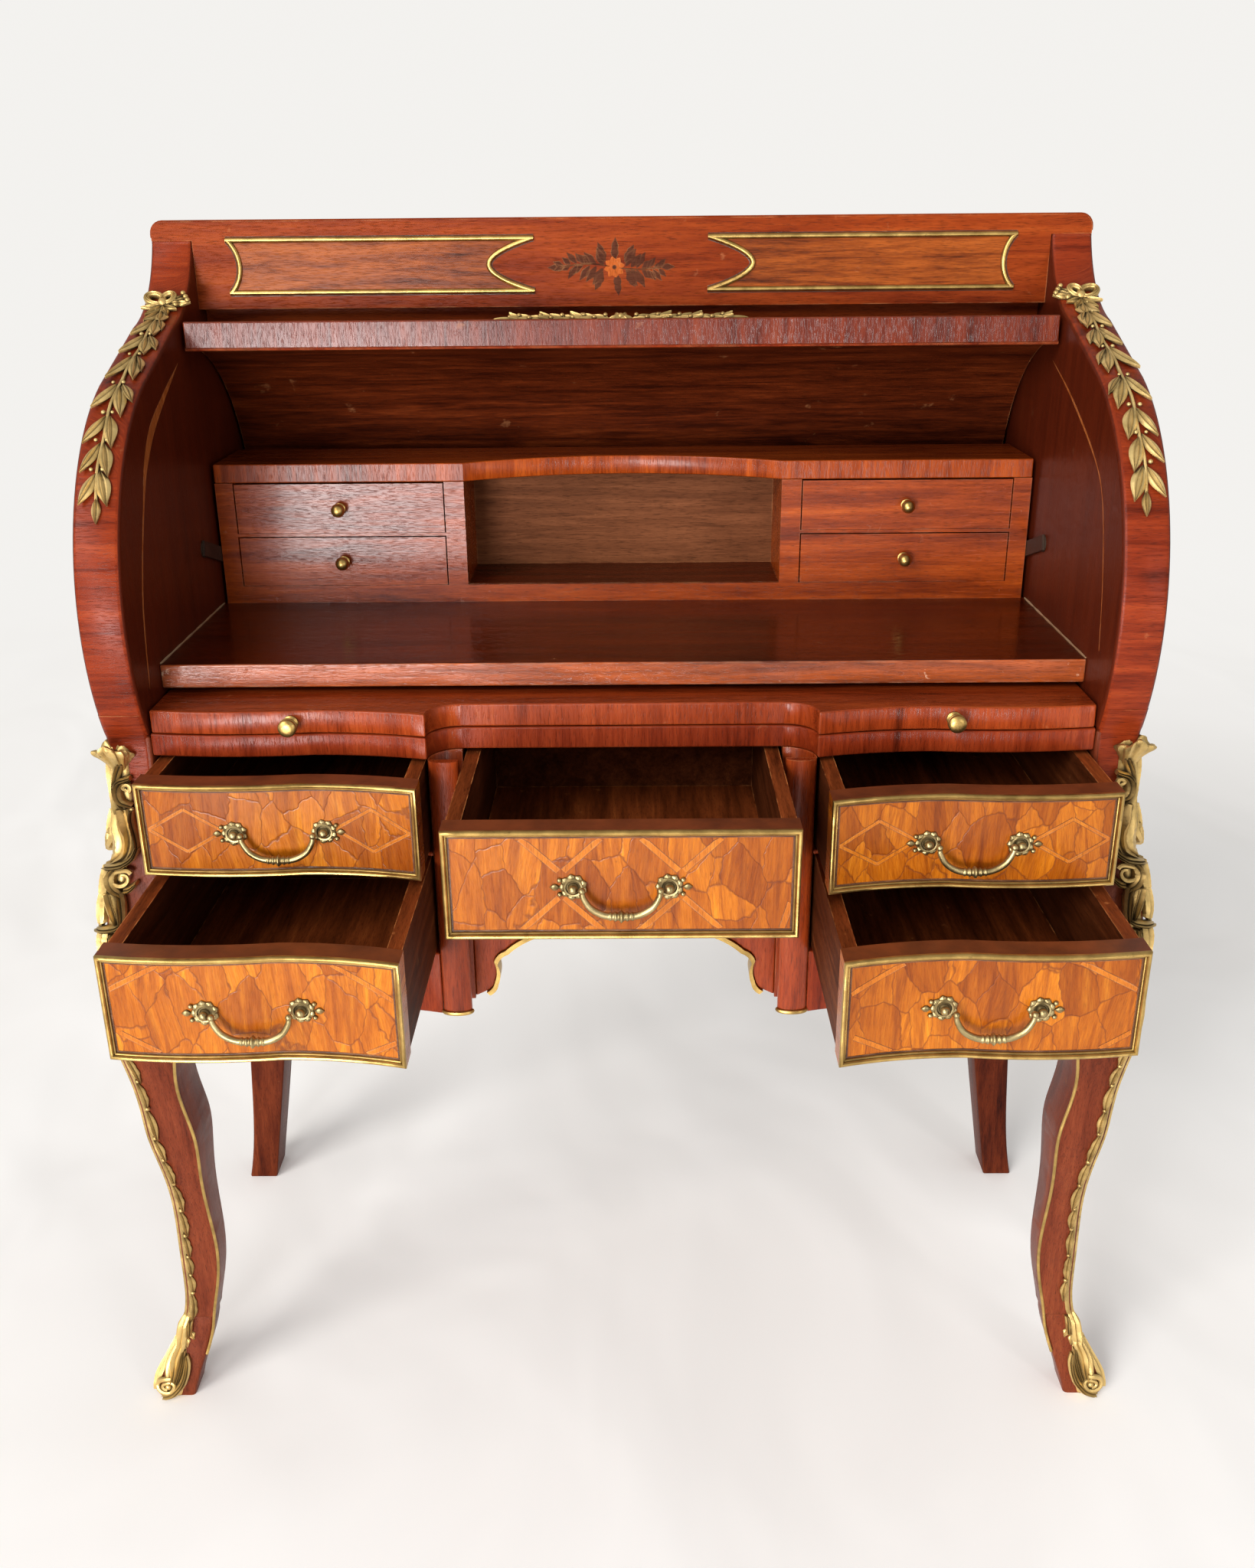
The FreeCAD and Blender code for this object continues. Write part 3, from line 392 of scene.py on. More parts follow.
def parquetry(name, tones):
    """Tulipwood cut in small irregular pieces with fine dark joints."""
    g = Graph(name, Coat_Weight=0.08, Coat_Roughness=0.14, Specular_IOR_Level=0.24)
    flat = g.stretch(g.place(), (1.0, 0.0, 1.0))
    wobble = g.node("VectorMath", {0: g.noise(flat, 34.0, 3.0, 0.6, output="Color"), "Scale": 0.016},
                    operation="SCALE")
    shifted = g.node("VectorMath", {0: flat, 1: wobble.outputs[0]}, operation="ADD")
    spot = g.stretch(shifted.outputs[0], (1.4, 1.0, 0.85))
    parts = g.node("SeparateColor", {0: g.cells(spot, 30.0, "F1", "Color")})
    lean = g.node("VectorRotate", {"Axis": (0, 1, 0), "Vector": flat,
                                   "Angle": g.span(parts.outputs[0], 0.0, 1.0, -0.20, 0.20)},
                  rotation_type="AXIS_ANGLE")
    colour, fine, pores = wood_look(g, g.stretch(lean.outputs[0], (15.0, 1.0, 1.2)), tones, 1.7, 0.7)
    streak = g.span(g.noise(g.stretch(flat, (52.0, 1.0, 3.0)), 2.6, 4.0, 0.6, 0.6), 0.50, 0.74)
    colour = g.mix(g.times(streak, 0.62), colour, (0.15, 0.030, 0.006))
    hue = g.ramp(parts.outputs[1], [(0.0, (0.58, 0.44, 0.36)), (0.35, (0.84, 0.76, 0.70)),
                                    (0.7, (1.0, 1.0, 1.0)), (1.0, (1.2, 1.3, 1.3))])
    colour = g.mix(0.8, colour, hue, "MULTIPLY")
    line = g.span(g.cells(spot, 30.0, "DISTANCE_TO_EDGE", "Distance"), 0.004, 0.024)
    colour = g.mix(g.times(g.inverse(line), 0.6), colour, (0.10, 0.020, 0.006))
    worm = g.span(g.noise(flat, 190.0, 2.0), 0.70, 0.76)
    colour = g.mix(g.times(worm, 0.5), colour, (0.12, 0.03, 0.012))
    top = g.facing("Z", 0.6, 0.8)
    rubbed = g.ramp(g.noise(g.place(), 26.0, 5.0, 0.65),
                    [(0.35, (0.10, 0.022, 0.005)), (0.65, (0.20, 0.044, 0.010))])
    colour = g.mix(top, colour, rubbed)
    rough = g.math("MAXIMUM", g.span(fine, 0.2, 0.8, 0.2, 0.36), g.times(top, 0.5))
    height = g.times(g.plus(g.times(line, 0.8), g.times(pores, 0.2)), g.inverse(top))
    return g.finish(colour, rough, height, 0.3, 0.0005)


def metal(name, bright, dull, rough, grime=0.85, reach=0.006, metallic=1.0):
    """Old brass or bronze, rubbed bright in patches and dark in its hollows."""
    g = Graph(name, Metallic=metallic)
    patch = g.noise(g.place(), 60.0, 5.0, 0.6)
    fine = g.noise(g.place(), 420.0, 3.0, 0.6)
    colour = g.mix(g.span(patch, 0.35, 0.68), dull, bright)
    shade = g.node("AmbientOcclusion", {"Distance": reach}, samples=6, only_local=False)
    hollow = g.span(shade.outputs["AO"], 0.42, 0.92, 1.0, 0.0)
    colour = g.mix(g.times(hollow, grime), colour, (0.045, 0.026, 0.012))
    spots = g.span(g.noise(g.place(), 130.0, 4.0, 0.7), 0.62, 0.70)
    colour = g.mix(g.times(spots, 0.45), colour, (0.10, 0.065, 0.03))
    worn = g.plus(g.times(patch, 0.25), g.times(hollow, 0.25))
    return g.finish(colour, g.plus(worn, rough - 0.12), g.plus(fine, patch), 0.2)


# Tones of each veneer from dark to light
RED = ((0.048, 0.0052, 0.0014), (0.145, 0.0155, 0.0034), (0.225, 0.028, 0.006), (0.30, 0.047, 0.010))
LEG = ((0.047, 0.008, 0.003), (0.115, 0.020, 0.007), (0.16, 0.031, 0.011), (0.215, 0.049, 0.016))
DARK = ((0.014, 0.0015, 0.0003), (0.045, 0.0046, 0.0006), (0.082, 0.0085, 0.0009), (0.126, 0.015, 0.0018))
# The leg wood made darker for the back legs: painted shade.
LEG_IN_PAINTED_SHADE = ((0.021, 0.003, 0.0014), (0.066, 0.010, 0.003), (0.110, 0.019, 0.0055), (0.16, 0.032, 0.0095))
BRIGHT = ((0.060, 0.0075, 0.0016), (0.185, 0.023, 0.0040), (0.285, 0.040, 0.0070), (0.37, 0.066, 0.011))
TAWNY = ((0.033, 0.0036, 0.0009), (0.100, 0.0105, 0.0021), (0.155, 0.019, 0.0038), (0.21, 0.033, 0.0068))
FITTED = ((0.055, 0.0066, 0.0008), (0.178, 0.023, 0.0020), (0.31, 0.047, 0.0040), (0.45, 0.082, 0.0075))
RIBBON = ((0.014, 0.0024, 0.0010), (0.045, 0.0066, 0.0018), (0.100, 0.0155, 0.0034), (0.18, 0.033, 0.007))
FRIEZE = ((0.055, 0.007, 0.0015), (0.165, 0.021, 0.0035), (0.25, 0.038, 0.0055), (0.32, 0.058, 0.009))
ROSE = ((0.020, 0.004, 0.001), (0.15, 0.028, 0.004), (0.29, 0.064, 0.008), (0.37, 0.090, 0.013))
TULIP = ((0.15, 0.029, 0.002), (0.31, 0.074, 0.003), (0.43, 0.120, 0.005), (0.57, 0.200, 0.012))
LINING = ((0.022, 0.0055, 0.002), (0.055, 0.0135, 0.0045), (0.10, 0.025, 0.008), (0.16, 0.045, 0.013))
PLAIN = ((0.06, 0.024, 0.011), (0.12, 0.052, 0.022), (0.18, 0.085, 0.038), (0.25, 0.125, 0.06))
ROUGH = ((0.080, 0.026, 0.010), (0.145, 0.047, 0.018), (0.22, 0.075, 0.030))
LATTICE = ((0.31, 0.073, 0.004), (0.43, 0.118, 0.006), (0.52, 0.165, 0.011))
INLAY = ((0.035, 0.014, 0.008), (0.065, 0.026, 0.014), (0.10, 0.040, 0.02))
SPRIG = ((0.045, 0.012, 0.006), (0.075, 0.021, 0.010), (0.11, 0.034, 0.015))
FLOWER = ((0.36, 0.072, 0.012), (0.46, 0.105, 0.020))
WORN = ((0.19, 0.040, 0.009), (0.32, 0.085, 0.019), (0.44, 0.14, 0.036))
PALE = ((0.20, 0.11, 0.06), (0.34, 0.22, 0.13), (0.44, 0.31, 0.20))
# The first is the fitment's wear colour; the second darkens the fitment's upward faces, as painted shade.
FITTED_WEAR, FITTED_TOP_PAINTED_SHADE = (0.34, 0.14, 0.07), ("Z", (0.70, 0.75, 0.95))

# The sides' faces that look along X, the walls, are darkened and evened out toward a dark tone: painted
# shade.
BAND_WOOD = wood("band_wood", RED, "Z", "X", 0.34, 0.0, painted_light_by_face=("X", (0.50, 0.45, 0.42)), shine=0.13,
                 painted_shade_calm=("X", (0.062, 0.0105, 0.0042), 0.55))
EDGE_WOOD = wood("edge_wood", RED, "X", "Z", 0.32, 0.0, shine=0.16)
SLIDE_WOOD = wood("slide_wood", BRIGHT, "X", "Z", 0.30, 0.04, shine=0.24)
POST_WOOD = wood("post_wood", BRIGHT, "Z", coat=0.06)
LEG_WOOD = wood("leg_wood", LEG, "Z", None, 0.36, 0.0, turn=(0.0, 0.62, 0.0), shine=0.12)
# The back legs take the darker leg tones: painted shade.
BACK_LEG_PAINTED_SHADE_WOOD = wood("back_leg_painted_shade_wood", LEG_IN_PAINTED_SHADE, "Z", None, 0.40, 0.0, shine=0.08)
FRIEZE_WOOD = wood("frieze_wood", FRIEZE, "X", None, 0.36, 0.0, shine=0.06)
ROSE_WOOD = wood("rose_wood", ROSE, "X", None, 0.34, 0.03, 2.0, shine=0.10)
# The desk board's faces that look along Y, its front edge, are made many times lighter: painted light.
BOARD_WOOD = wood("board_wood", DARK, "X", None, 0.17, 0.0, painted_light_by_face=("Y", (4.0, 7.5, 13.0)), shine=0.45)
FIT_WOOD = wood("fitment_wood", FITTED, "X", None, 0.27, 0.10, wear=FITTED_WEAR, painted_light_by_face=FITTED_TOP_PAINTED_SHADE)
FIT_TOP_WOOD = wood("fitment_top_wood", FITTED, "X", "Z", 0.30, 0.06, wear=FITTED_WEAR, painted_light_by_face=FITTED_TOP_PAINTED_SHADE,
                    shine=0.2)
LID_WOOD = wood("lid_wood", RIBBON, "X", None, 0.38, 0.04, 1.9, shine=0.14)
RAIL_WOOD = wood("rail_wood", TAWNY, "X", "Z", 0.27, 0.12, 1.4, shine=0.32)
# Upward faces of the drawer boxes are made lighter: painted light.
LINING_WOOD = wood("lining_wood", LINING, "Y", None, 0.48, 0.0, painted_light_by_face=("Z", (2.5, 2.2, 1.7)), shine=0.02)
ROUGH_WOOD = wood("rough_wood", ROUGH, "X", None, 0.6, 0.0, 1.8, shine=0.05)
# The compartment floor's dark tone is painted shade.
COMPARTMENT_FLOOR_PAINTED_SHADE = wood("compartment_floor_painted_shade", DARK, "X", None, 0.3, 0.0, shine=0.2)
PLAIN_WOOD = wood("plain_wood", PLAIN, "Z", None, 0.55, 0.0)
FRONT_WOOD = parquetry("front_wood", TULIP)
LATTICE_WOOD = wood("lattice_wood", LATTICE, "Z", None, 0.28)
INLAY_WOOD = wood("inlay_wood", INLAY)
SPRIG_WOOD = wood("sprig_wood", SPRIG, "X", None, 0.5, 0.0, shine=0.04)
FLOWER_WOOD = wood("flower_wood", FLOWER, "Z", None, 0.5, 0.0, shine=0.04)
WORN_WOOD = wood("worn_wood", WORN, "Z", shine=0.1)
PALE_WOOD = wood("pale_joint", PALE, "Y", None, 0.6, 0.0, shine=0.05)
BRONZE = metal("gilt_bronze", (0.74, 0.51, 0.19), (0.43, 0.29, 0.10), 0.40, 0.92, 0.005, 0.82)
# A darker copy of the gilt bronze for the leg strips: painted shade.
STRIP_BRONZE_PAINTED_SHADE = metal("leg_strip_bronze_painted_shade", (0.74, 0.51, 0.19), (0.38, 0.25, 0.085), 0.38, 0.93, 0.005, 0.85)
SHOE_BRONZE = metal("shoe_bronze", (0.74, 0.515, 0.19), (0.58, 0.40, 0.145), 0.36, 0.70, 0.003, 0.80)
# A lighter copy of the gilt bronze for the garlands: painted light.
LAUREL_PAINTED_LIGHT = metal("laurel_bronze_painted_light", (0.90, 0.67, 0.29), (0.58, 0.41, 0.155), 0.45, 0.96, 0.006, 0.75)
BRASS = metal("old_brass", (0.64, 0.42, 0.135), (0.38, 0.24, 0.075), 0.36, 0.85, 0.004)
ANTIQUE = metal("handle_brass", (0.50, 0.39, 0.19), (0.28, 0.21, 0.095), 0.38, 0.92, 0.005)
IRON = metal("dull_iron", (0.060, 0.028, 0.018), (0.035, 0.016, 0.010), 0.55, metallic=0.5)


# Carried-over nodes

DRAWERS = ("upper_left", "lower_left", "upper_right", "lower_right", "centre")
SMALL = ("lower_left", "upper_left", "lower_right", "upper_right")


def dress(material, bevel, *names):
    """Give carried-over nodes a material and edges broken by a width in millimetres."""
    for name in names:
        obj = NODES[name]
        obj.data.materials.clear()
        obj.data.materials.append(material)
        if bevel:
            put(obj.modifiers.new("weld", "WELD"), merge_threshold=0.00002)
            put(obj.modifiers.new("flat_faces", "DECIMATE"), decimate_type="DISSOLVE",
                angle_limit=radians(0.5))
            put(obj.modifiers.new("soft_edges", "BEVEL"), width=bevel * MM, segments=2 if bevel < 3 else 3,
                limit_method="ANGLE", angle_limit=radians(42), harden_normals=True, loop_slide=False)


dress(BAND_WOOD, 5.0, "left_side", "right_side")
dress(EDGE_WOOD, 1.8, "slide_rail", "case_rails")
dress(SLIDE_WOOD, 1.8, "writing_slide")
dress(POST_WOOD, 1.5, "left_divider", "right_divider", "kneehole_apron")
dress(LEG_WOOD, 2.0, "front_leg_left", "front_leg_right")
dress(BACK_LEG_PAINTED_SHADE_WOOD, 2.0, "back_leg_left", "back_leg_right")
dress(FRIEZE_WOOD, 1.0, "frieze_rail")
dress(PLAIN_WOOD, 0, "back_panel", "pedestal_bottoms", "drawer_runners")
dress(BOARD_WOOD, 1.8, "desk_board")
dress(FIT_TOP_WOOD, 1.4, "fitment_top")
dress(FIT_WOOD, 0, "fitment_frame", *("small_drawer_" + word for word in SMALL))
dress(LID_WOOD, 0, "lid_panel")
dress(RAIL_WOOD, 1.5, "lid_rail")
dress(IRON, 0, "lid_arms", "lid_pivots")
dress(BRASS, 0, "brass_edging")
dress(LINING_WOOD, 0, *(word + "_box" for word in DRAWERS))
dress(FRONT_WOOD, 0, *(word + "_front" for word in DRAWERS))


# Unpolished back of the open compartment, and its floor in a dark tone that is painted shade

def slab(name, material, half, y0, y1, z0, z1):
    """A thin board across the compartment."""
    outline = ((y0, z0), (y0, z1), (y1, z1), (y1, z0))
    shape = Shape()
    shape.rings([[Vector((x, y, z)) for y, z in outline] for x in (-half, 0.0, half)])
    shape.piece(name, CARCASS, "fitment_wood", material)


def compartment():
    low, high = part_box("fitment_frame")
    upright, back, base, skin = 0.019, 0.006, 0.017, 0.0005
    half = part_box("small_drawer_lower_right")[0].x - upright - 0.0012
    rear, floor = high.y - back - 0.0006, low.z + base + 0.0004
    slab("compartment_back", ROUGH_WOOD, half, rear, rear + skin, floor, high.z - 0.0004)
    # The floor takes a dark tone that is painted shade.
    slab("compartment_floor", COMPARTMENT_FLOOR_PAINTED_SHADE, half, low.y + 0.003, rear, floor - skin, floor)


compartment()


# Top board with rounded ends

def top_board():
    low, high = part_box("top_board")
    round_end, chamfer = 0.012, 0.0015
    outline = [Vector((low.x, 0, low.z)), Vector((high.x, 0, low.z))]
    for side, start in ((1, 0.0), (-1, pi / 2)):
        centre = Vector((side * (high.x - round_end), 0, high.z - round_end))
        for k in range(7):
            t = start + k * pi / 12
            outline.append(centre + Vector((cos(t), 0, sin(t))) * round_end)
    rows = []
    for y, shrink in ((low.y, chamfer), (low.y + chamfer, 0.0), (high.y, 0.0)):
        rows.append([Vector((p.x - copysign(shrink, p.x), y, p.z - (shrink if p.z > low.z + 0.001 else 0.0)))
                     for p in outline])
    shape = Shape()
    shape.rings(rows)
    shape.piece("top_board_rounded", CARCASS, "case_wood", FRIEZE_WOOD, "top_board")


top_board()


# Brass frames, rosettes and bails of the main drawers

MOULD = ((0.0, 0.0), (0.0, 2.6), (0.5, 3.7), (1.5, 4.2), (2.7, 3.9), (3.4, 2.9), (3.7, 1.9),
         (4.3, 2.2), (4.9, 1.8), (5.2, 1.0), (5.3, -0.4))
STRINGING = ((4.9, -0.3), (4.9, 0.35), (6.6, 0.35), (6.6, -0.3))
FIELD_INSET = 6.7
HANDLE_HALF = 36
# radius and height of the turned button in a rosette
BUTTON = ((8.2, -0.4), (8.2, 1.4), (7.0, 2.7), (5.8, 2.5), (5.0, 1.4), (4.2, 1.4), (3.6, 2.4), (2.9, 3.4),
          (3.6, 4.8), (3.7, 6.2), (2.8, 7.8), (1.2, 8.6), (0.0, 8.7))
# left half of the bail from its end, then place from the middle, height and breadth of its swellings
BAIL_HALF = ((-29.2, 1), (-28, -5), (-22.5, -13.5), (-12.5, -19))
BAIL_KNOPS = ((0.0, 2.2, 0.030), (0.085, 1.0, 0.020), (0.16, 0.7, 0.016))


def frame_strip(shape, wrap, x0, x1, z0, z1, profile):
    """A moulding of the given section round a rectangle on a surface."""
    long_steps, short_steps = 26, 4
    rows = []
    for inset, height in profile:
        a, b, c, d = x0 + inset, x1 - inset, z0 + inset, z1 - inset
        corners = [Vector(p) for p in ((a, c), (b, c), (b, d), (a, d), (a, c))]
        row = []
        for p, q, steps in zip(corners, corners[1:], (long_steps, short_steps) * 2):
            row += [wrap(*(p + (q - p) * t), height) for t in shares(steps)[:-1]]
        rows.append(row)
    shape.rings(rows, ends=False)


def rosette(shape, wrap, x, z, outward):
    """A small flower with a ball in its middle and a leaf pointing outward."""
    def local(turn):
        def at(a, b, h):
            return wrap(x + a * cos(turn) - b * sin(turn), z + a * sin(turn) + b * cos(turn), h)
        return at

    for turn in turns(9):
        leaf(shape, local(turn + pi / 9), 4.8, 0, 0, 6.0, 6.6, 2.6, rib=0.1, blunt=1.3, steps=8)
    ahead = 0.0 if outward > 0 else pi
    leaf(shape, local(ahead), 9.8, 0, 0, 7.8, 5.6, 3.0, rib=0.3, blunt=1.1, steps=8)
    for lean in (-0.52, 0.52):
        ball(shape, local(ahead + lean)(11.8, 0, 1), 1.9)
    lathe(shape, BUTTON, wrap(x, z, 0), sides=18)


def bail(name, pivot):
    """A hanging handle with rings and a knop at its lowest point."""
    points = [*BAIL_HALF, (0, -20), *((-x, z) for x, z in reversed(BAIL_HALF))]
    line = smooth_line([Vector(pivot) + Vector((x, 0, z)) * MM for x, z in points], 12)

    def radius(t):
        s = abs(t - 0.5) * 2
        return 1.7 + 1.1 * cos(s * pi / 2) ** 0.6 + sum(size * exp(-((s - spot) / wide) ** 2)
                                                         for spot, size, wide in BAIL_KNOPS)

    shape = Shape()
    tube(shape, smooth_line(line, 3), radius, 12, (0, 1, 0))
    for end in (line[0], line[-1]):
        ball(shape, end, 2.8)
    shape.piece(name + "_bail_cast", "bail_" + name, "brass", ANTIQUE, name + "_bail")


def drawer_dressing(name):
    """Moulding, stringing, handle and lattice of one drawer front."""
    low, high = mm_box(name + "_front")
    side = {"left": -1, "right": 1}.get(name.split("_")[-1], 0)
    depth = serpentine(POST + 0.0015, INNER - 0.0015) if side else lambda x: 0.0
    plane = low.y * MM + (WAVE_OUT if side else 0.0)
    middle = (POST + INNER) / 2 * side / MM

    def wrap(x, z, h):
        return Vector((x * MM, plane + depth(x * MM) - h * MM, z * MM))

    body = "drawer_" + name
    moulding, line, flowers = Shape(), Shape(), Shape()
    frame_strip(moulding, wrap, low.x, high.x, low.z, high.z, MOULD)
    frame_strip(line, wrap, low.x, high.x, low.z, high.z, STRINGING)
    for way in (-1, 1):
        rosette(flowers, wrap, middle + HANDLE_HALF * way, (low.z + high.z) / 2 - 2, way)
    moulding.piece(name + "_moulding", body, "brass", BRASS, name + "_mounts")
    line.piece(name + "_stringing", body, "front_wood", INLAY_WOOD)
    flowers.piece(name + "_rosettes", body, "brass", ANTIQUE)
    bail(name, next(j["pos_m"] for j in frame["joints"] if j["name"] == name + "_bail_swing"))
    lattice(name, body, wrap, low.x + FIELD_INSET, high.x - FIELD_INSET, low.z + FIELD_INSET,
            high.z - FIELD_INSET, middle, side)


def lattice(name, body, wrap, x0, x1, z0, z1, middle, side):
    """Light bands let into a drawer front, with dark edges."""
    mid, half = (z0 + z1) / 2, (z1 - z0) / 2
    both = (-1, 1)
    if name.startswith("upper"):
        wide, reach, rise = 2.6, 31, 18.5
        lines = [(hub + left * reach, mid, hub, mid + up * rise)
                 for hub in (middle - 76, middle + 76) for left in both for up in both]
    elif side:
        wide = 4.0
        lines = [(x1 - 46, z1, x1, z1 - 26), (x0, z1 - 22, x0 + 40, z1), (x1 - 24, z0, x1, z0 + 13),
                 (x0 + 4, z0 + 16, x0 + 34, z0)]
    else:
        wide = 4.6
        lines = [(hub + way * 2, mid + up * 11, hub + way * 30, mid + up * half)
                 for hub in (-45, 45) for way in both for up in both]
        lines.append((x1, z0 + 22, x1 - 6, z0))
    light, dark = Shape(), Shape()
    for ax, az, bx, bz in lines:
        a, b = Vector((ax, az)), Vector((bx, bz))
        ahead = (b - a).normalized()
        over = Vector((-ahead.y, ahead.x))
        for shape, breadth, lift in ((dark, wide + 0.7, 0.12), (light, wide, 0.22)):
            rows = []
            for t in shares(6):
                row = []
                for way, h in ((-1, lift), (1, lift), (1, -0.4), (-1, -0.4)):
                    q = a + (b - a) * t + over * (breadth / 2 * way)
                    row.append(wrap(min(max(q.x, x0), x1), min(max(q.y, z0), z1), h))
                rows.append(row)
            shape.rings(rows)
    light.piece(name + "_lattice", body, "front_wood", LATTICE_WOOD)
    dark.piece(name + "_lattice_line", body, "front_wood", INLAY_WOOD)


for word in DRAWERS:
    drawer_dressing(word)


# Knobs of the small drawers and of the slide

BALL_KNOB = ((5.2, 0.0), (5.5, 1.2), (3.4, 2.2), (2.6, 4.0), (3.0, 5.2), (4.8, 6.0), (6.2, 8.0), (6.6, 10.4),
             (6.0, 13.2), (4.4, 15.4), (2.0, 16.6), (0.0, 16.8))
DISC_KNOB = ((6.2, -4.0), (6.2, 1.6), (4.0, 3.0), (3.6, 7.0), (5.8, 9.0), (7.4, 10.0), (7.6, 11.6),
             (6.8, 12.4), (7.4, 13.4), (7.4, 15.8), (6.2, 17.2), (3.0, 17.8), (0.0, 17.9))
DISC_HALF = 0.0075


def knobs():
    for word in SMALL:
        low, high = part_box("knob_" + word)
        shape = Shape()
        lathe(shape, BALL_KNOB, ((low.x + high.x) / 2, high.y, (low.z + high.z) / 2), sides=24)
        shape.piece("turned_knob_" + word, "small_" + word, "brass", BRASS, "knob_" + word)
    low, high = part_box("slide_knobs")
    depth = serpentine(POST, INNER - 0.0015)
    shape = Shape()
    for way in (-1, 1):
        x = way * (high.x - DISC_HALF)
        lathe(shape, DISC_KNOB, (x, FRONT + depth(x), (low.z + high.z) / 2), sides=28)
    shape.piece("slide_knobs_turned", "slide", "brass", BRASS, "slide_knobs")


knobs()


# Frieze: framed panels and a sprig of inlay between them

def on_frieze(x, z, h):
    """A place on the frieze, raised by h."""
    return Vector((x * MM, FRIEZE_FACE - h * MM, z * MM))


def half_round(shape, line, wide, high):
    """A low moulding of half-round section along a line on the frieze."""
    rows = []
    for i, p in enumerate(line):
        ahead = heading(line, i)
        over = Vector((-ahead.y, ahead.x)) * (wide / 2)
        outline = [(cos(pi * t), sin(pi * t) * high) for t in shares(8)] + [(-1, -0.5), (1, -0.5)]
        rows.append([on_frieze(*(p + over * v), h) for v, h in outline])
    shape.rings(rows)


def dished(x, low, high, depth):
    """An arc between two levels that swings sideways by a given depth."""
    half = (high - low) / 2
    radius = (half * half + depth * depth) / (2 * abs(depth))
    line = []
    for t in (2 * t - 1 for t in shares(16)):
        swing = sqrt(radius * radius - (t * half) ** 2) - (radius - abs(depth))
        line.append(Vector((x + copysign(swing, depth), (low + high) / 2 + t * half)))
    return line


def frieze_face():
    """One sheet of veneer over the frieze and the front edge of the top board."""
    low, high = mm_box("frieze_rail")
    top, end, round_end = mm_box("top_board")[1].z - 1.2, CASE_HALF / MM - 1.2, 11
    half = [Vector((high.x, low.z + 26.5)), Vector((high.x, high.z - 3)), Vector((end, high.z - 3))]
    hub = Vector((end - round_end, top - round_end))
    half += [hub + Vector((cos(t), sin(t))) * round_end for t in turns(24)[:7]]
    loop = half + [Vector((-p.x, p.y)) for p in reversed(half)]
    shape = Shape()
    shape.rings([[on_frieze(*p, h) for p in loop] for h in (-0.4, 0.3)])
    shape.piece("frieze_veneer", CARCASS, "frieze_wood", FRIEZE_WOOD)


def frieze_panels():
    low, high = mm_box("frieze_mouldings")
    rim, brass, stringing, skin = 2.6, (5.2, 3.0), (8.4, 0.5), 0.5
    waist, flare, bow = 122, 40.5, 1.9
    end, dish = 361.5, -9.5
    z0, z1 = low.z + rim, high.z - rim
    middle, half = (z0 + z1) / 2, (z1 - z0) / 2
    frames, lines, panels = Shape(), Shape(), Shape()
    outline = [(t, skin) for t in shares(12)] + [(1, -skin), (0, -skin)]
    for side in (-1, 1):
        inner = [Vector((side * (waist - flare * abs(v) ** bow), middle + half * v))
                 for v in (2 * t - 1 for t in shares(16))]
        outer = [Vector((p.x * side, p.y)) for p in dished(end, z0, z1, dish)]
        top, foot = ([Vector((x * side, z)) for x in (80, 200, 363)] for z in (z1, z0))
        for line in (inner, outer, top, foot):
            half_round(frames, line, *brass)
            half_round(lines, line, *stringing)
        panels.rings([[on_frieze(p.x + (q.x - p.x) * t, middle + (p.y - middle) * 0.98, h)
                       for t, h in outline] for p, q in zip(inner, outer)])
    frames.piece("frieze_frames", CARCASS, "brass", BRASS, "frieze_mouldings")
    lines.piece("frieze_stringing", CARCASS, "frieze_wood", INLAY_WOOD)
    panels.piece("frieze_panels", CARCASS, "frieze_wood", ROSE_WOOD)


# place along, direction and length of the leaves round the flower
SPRIG_TUFT = ((-8, 1.95, 21), (0, 1.52, 24), (9, 1.05, 20), (-10, 4.25, 20), (2, 4.80, 23), (11, 5.25, 18))


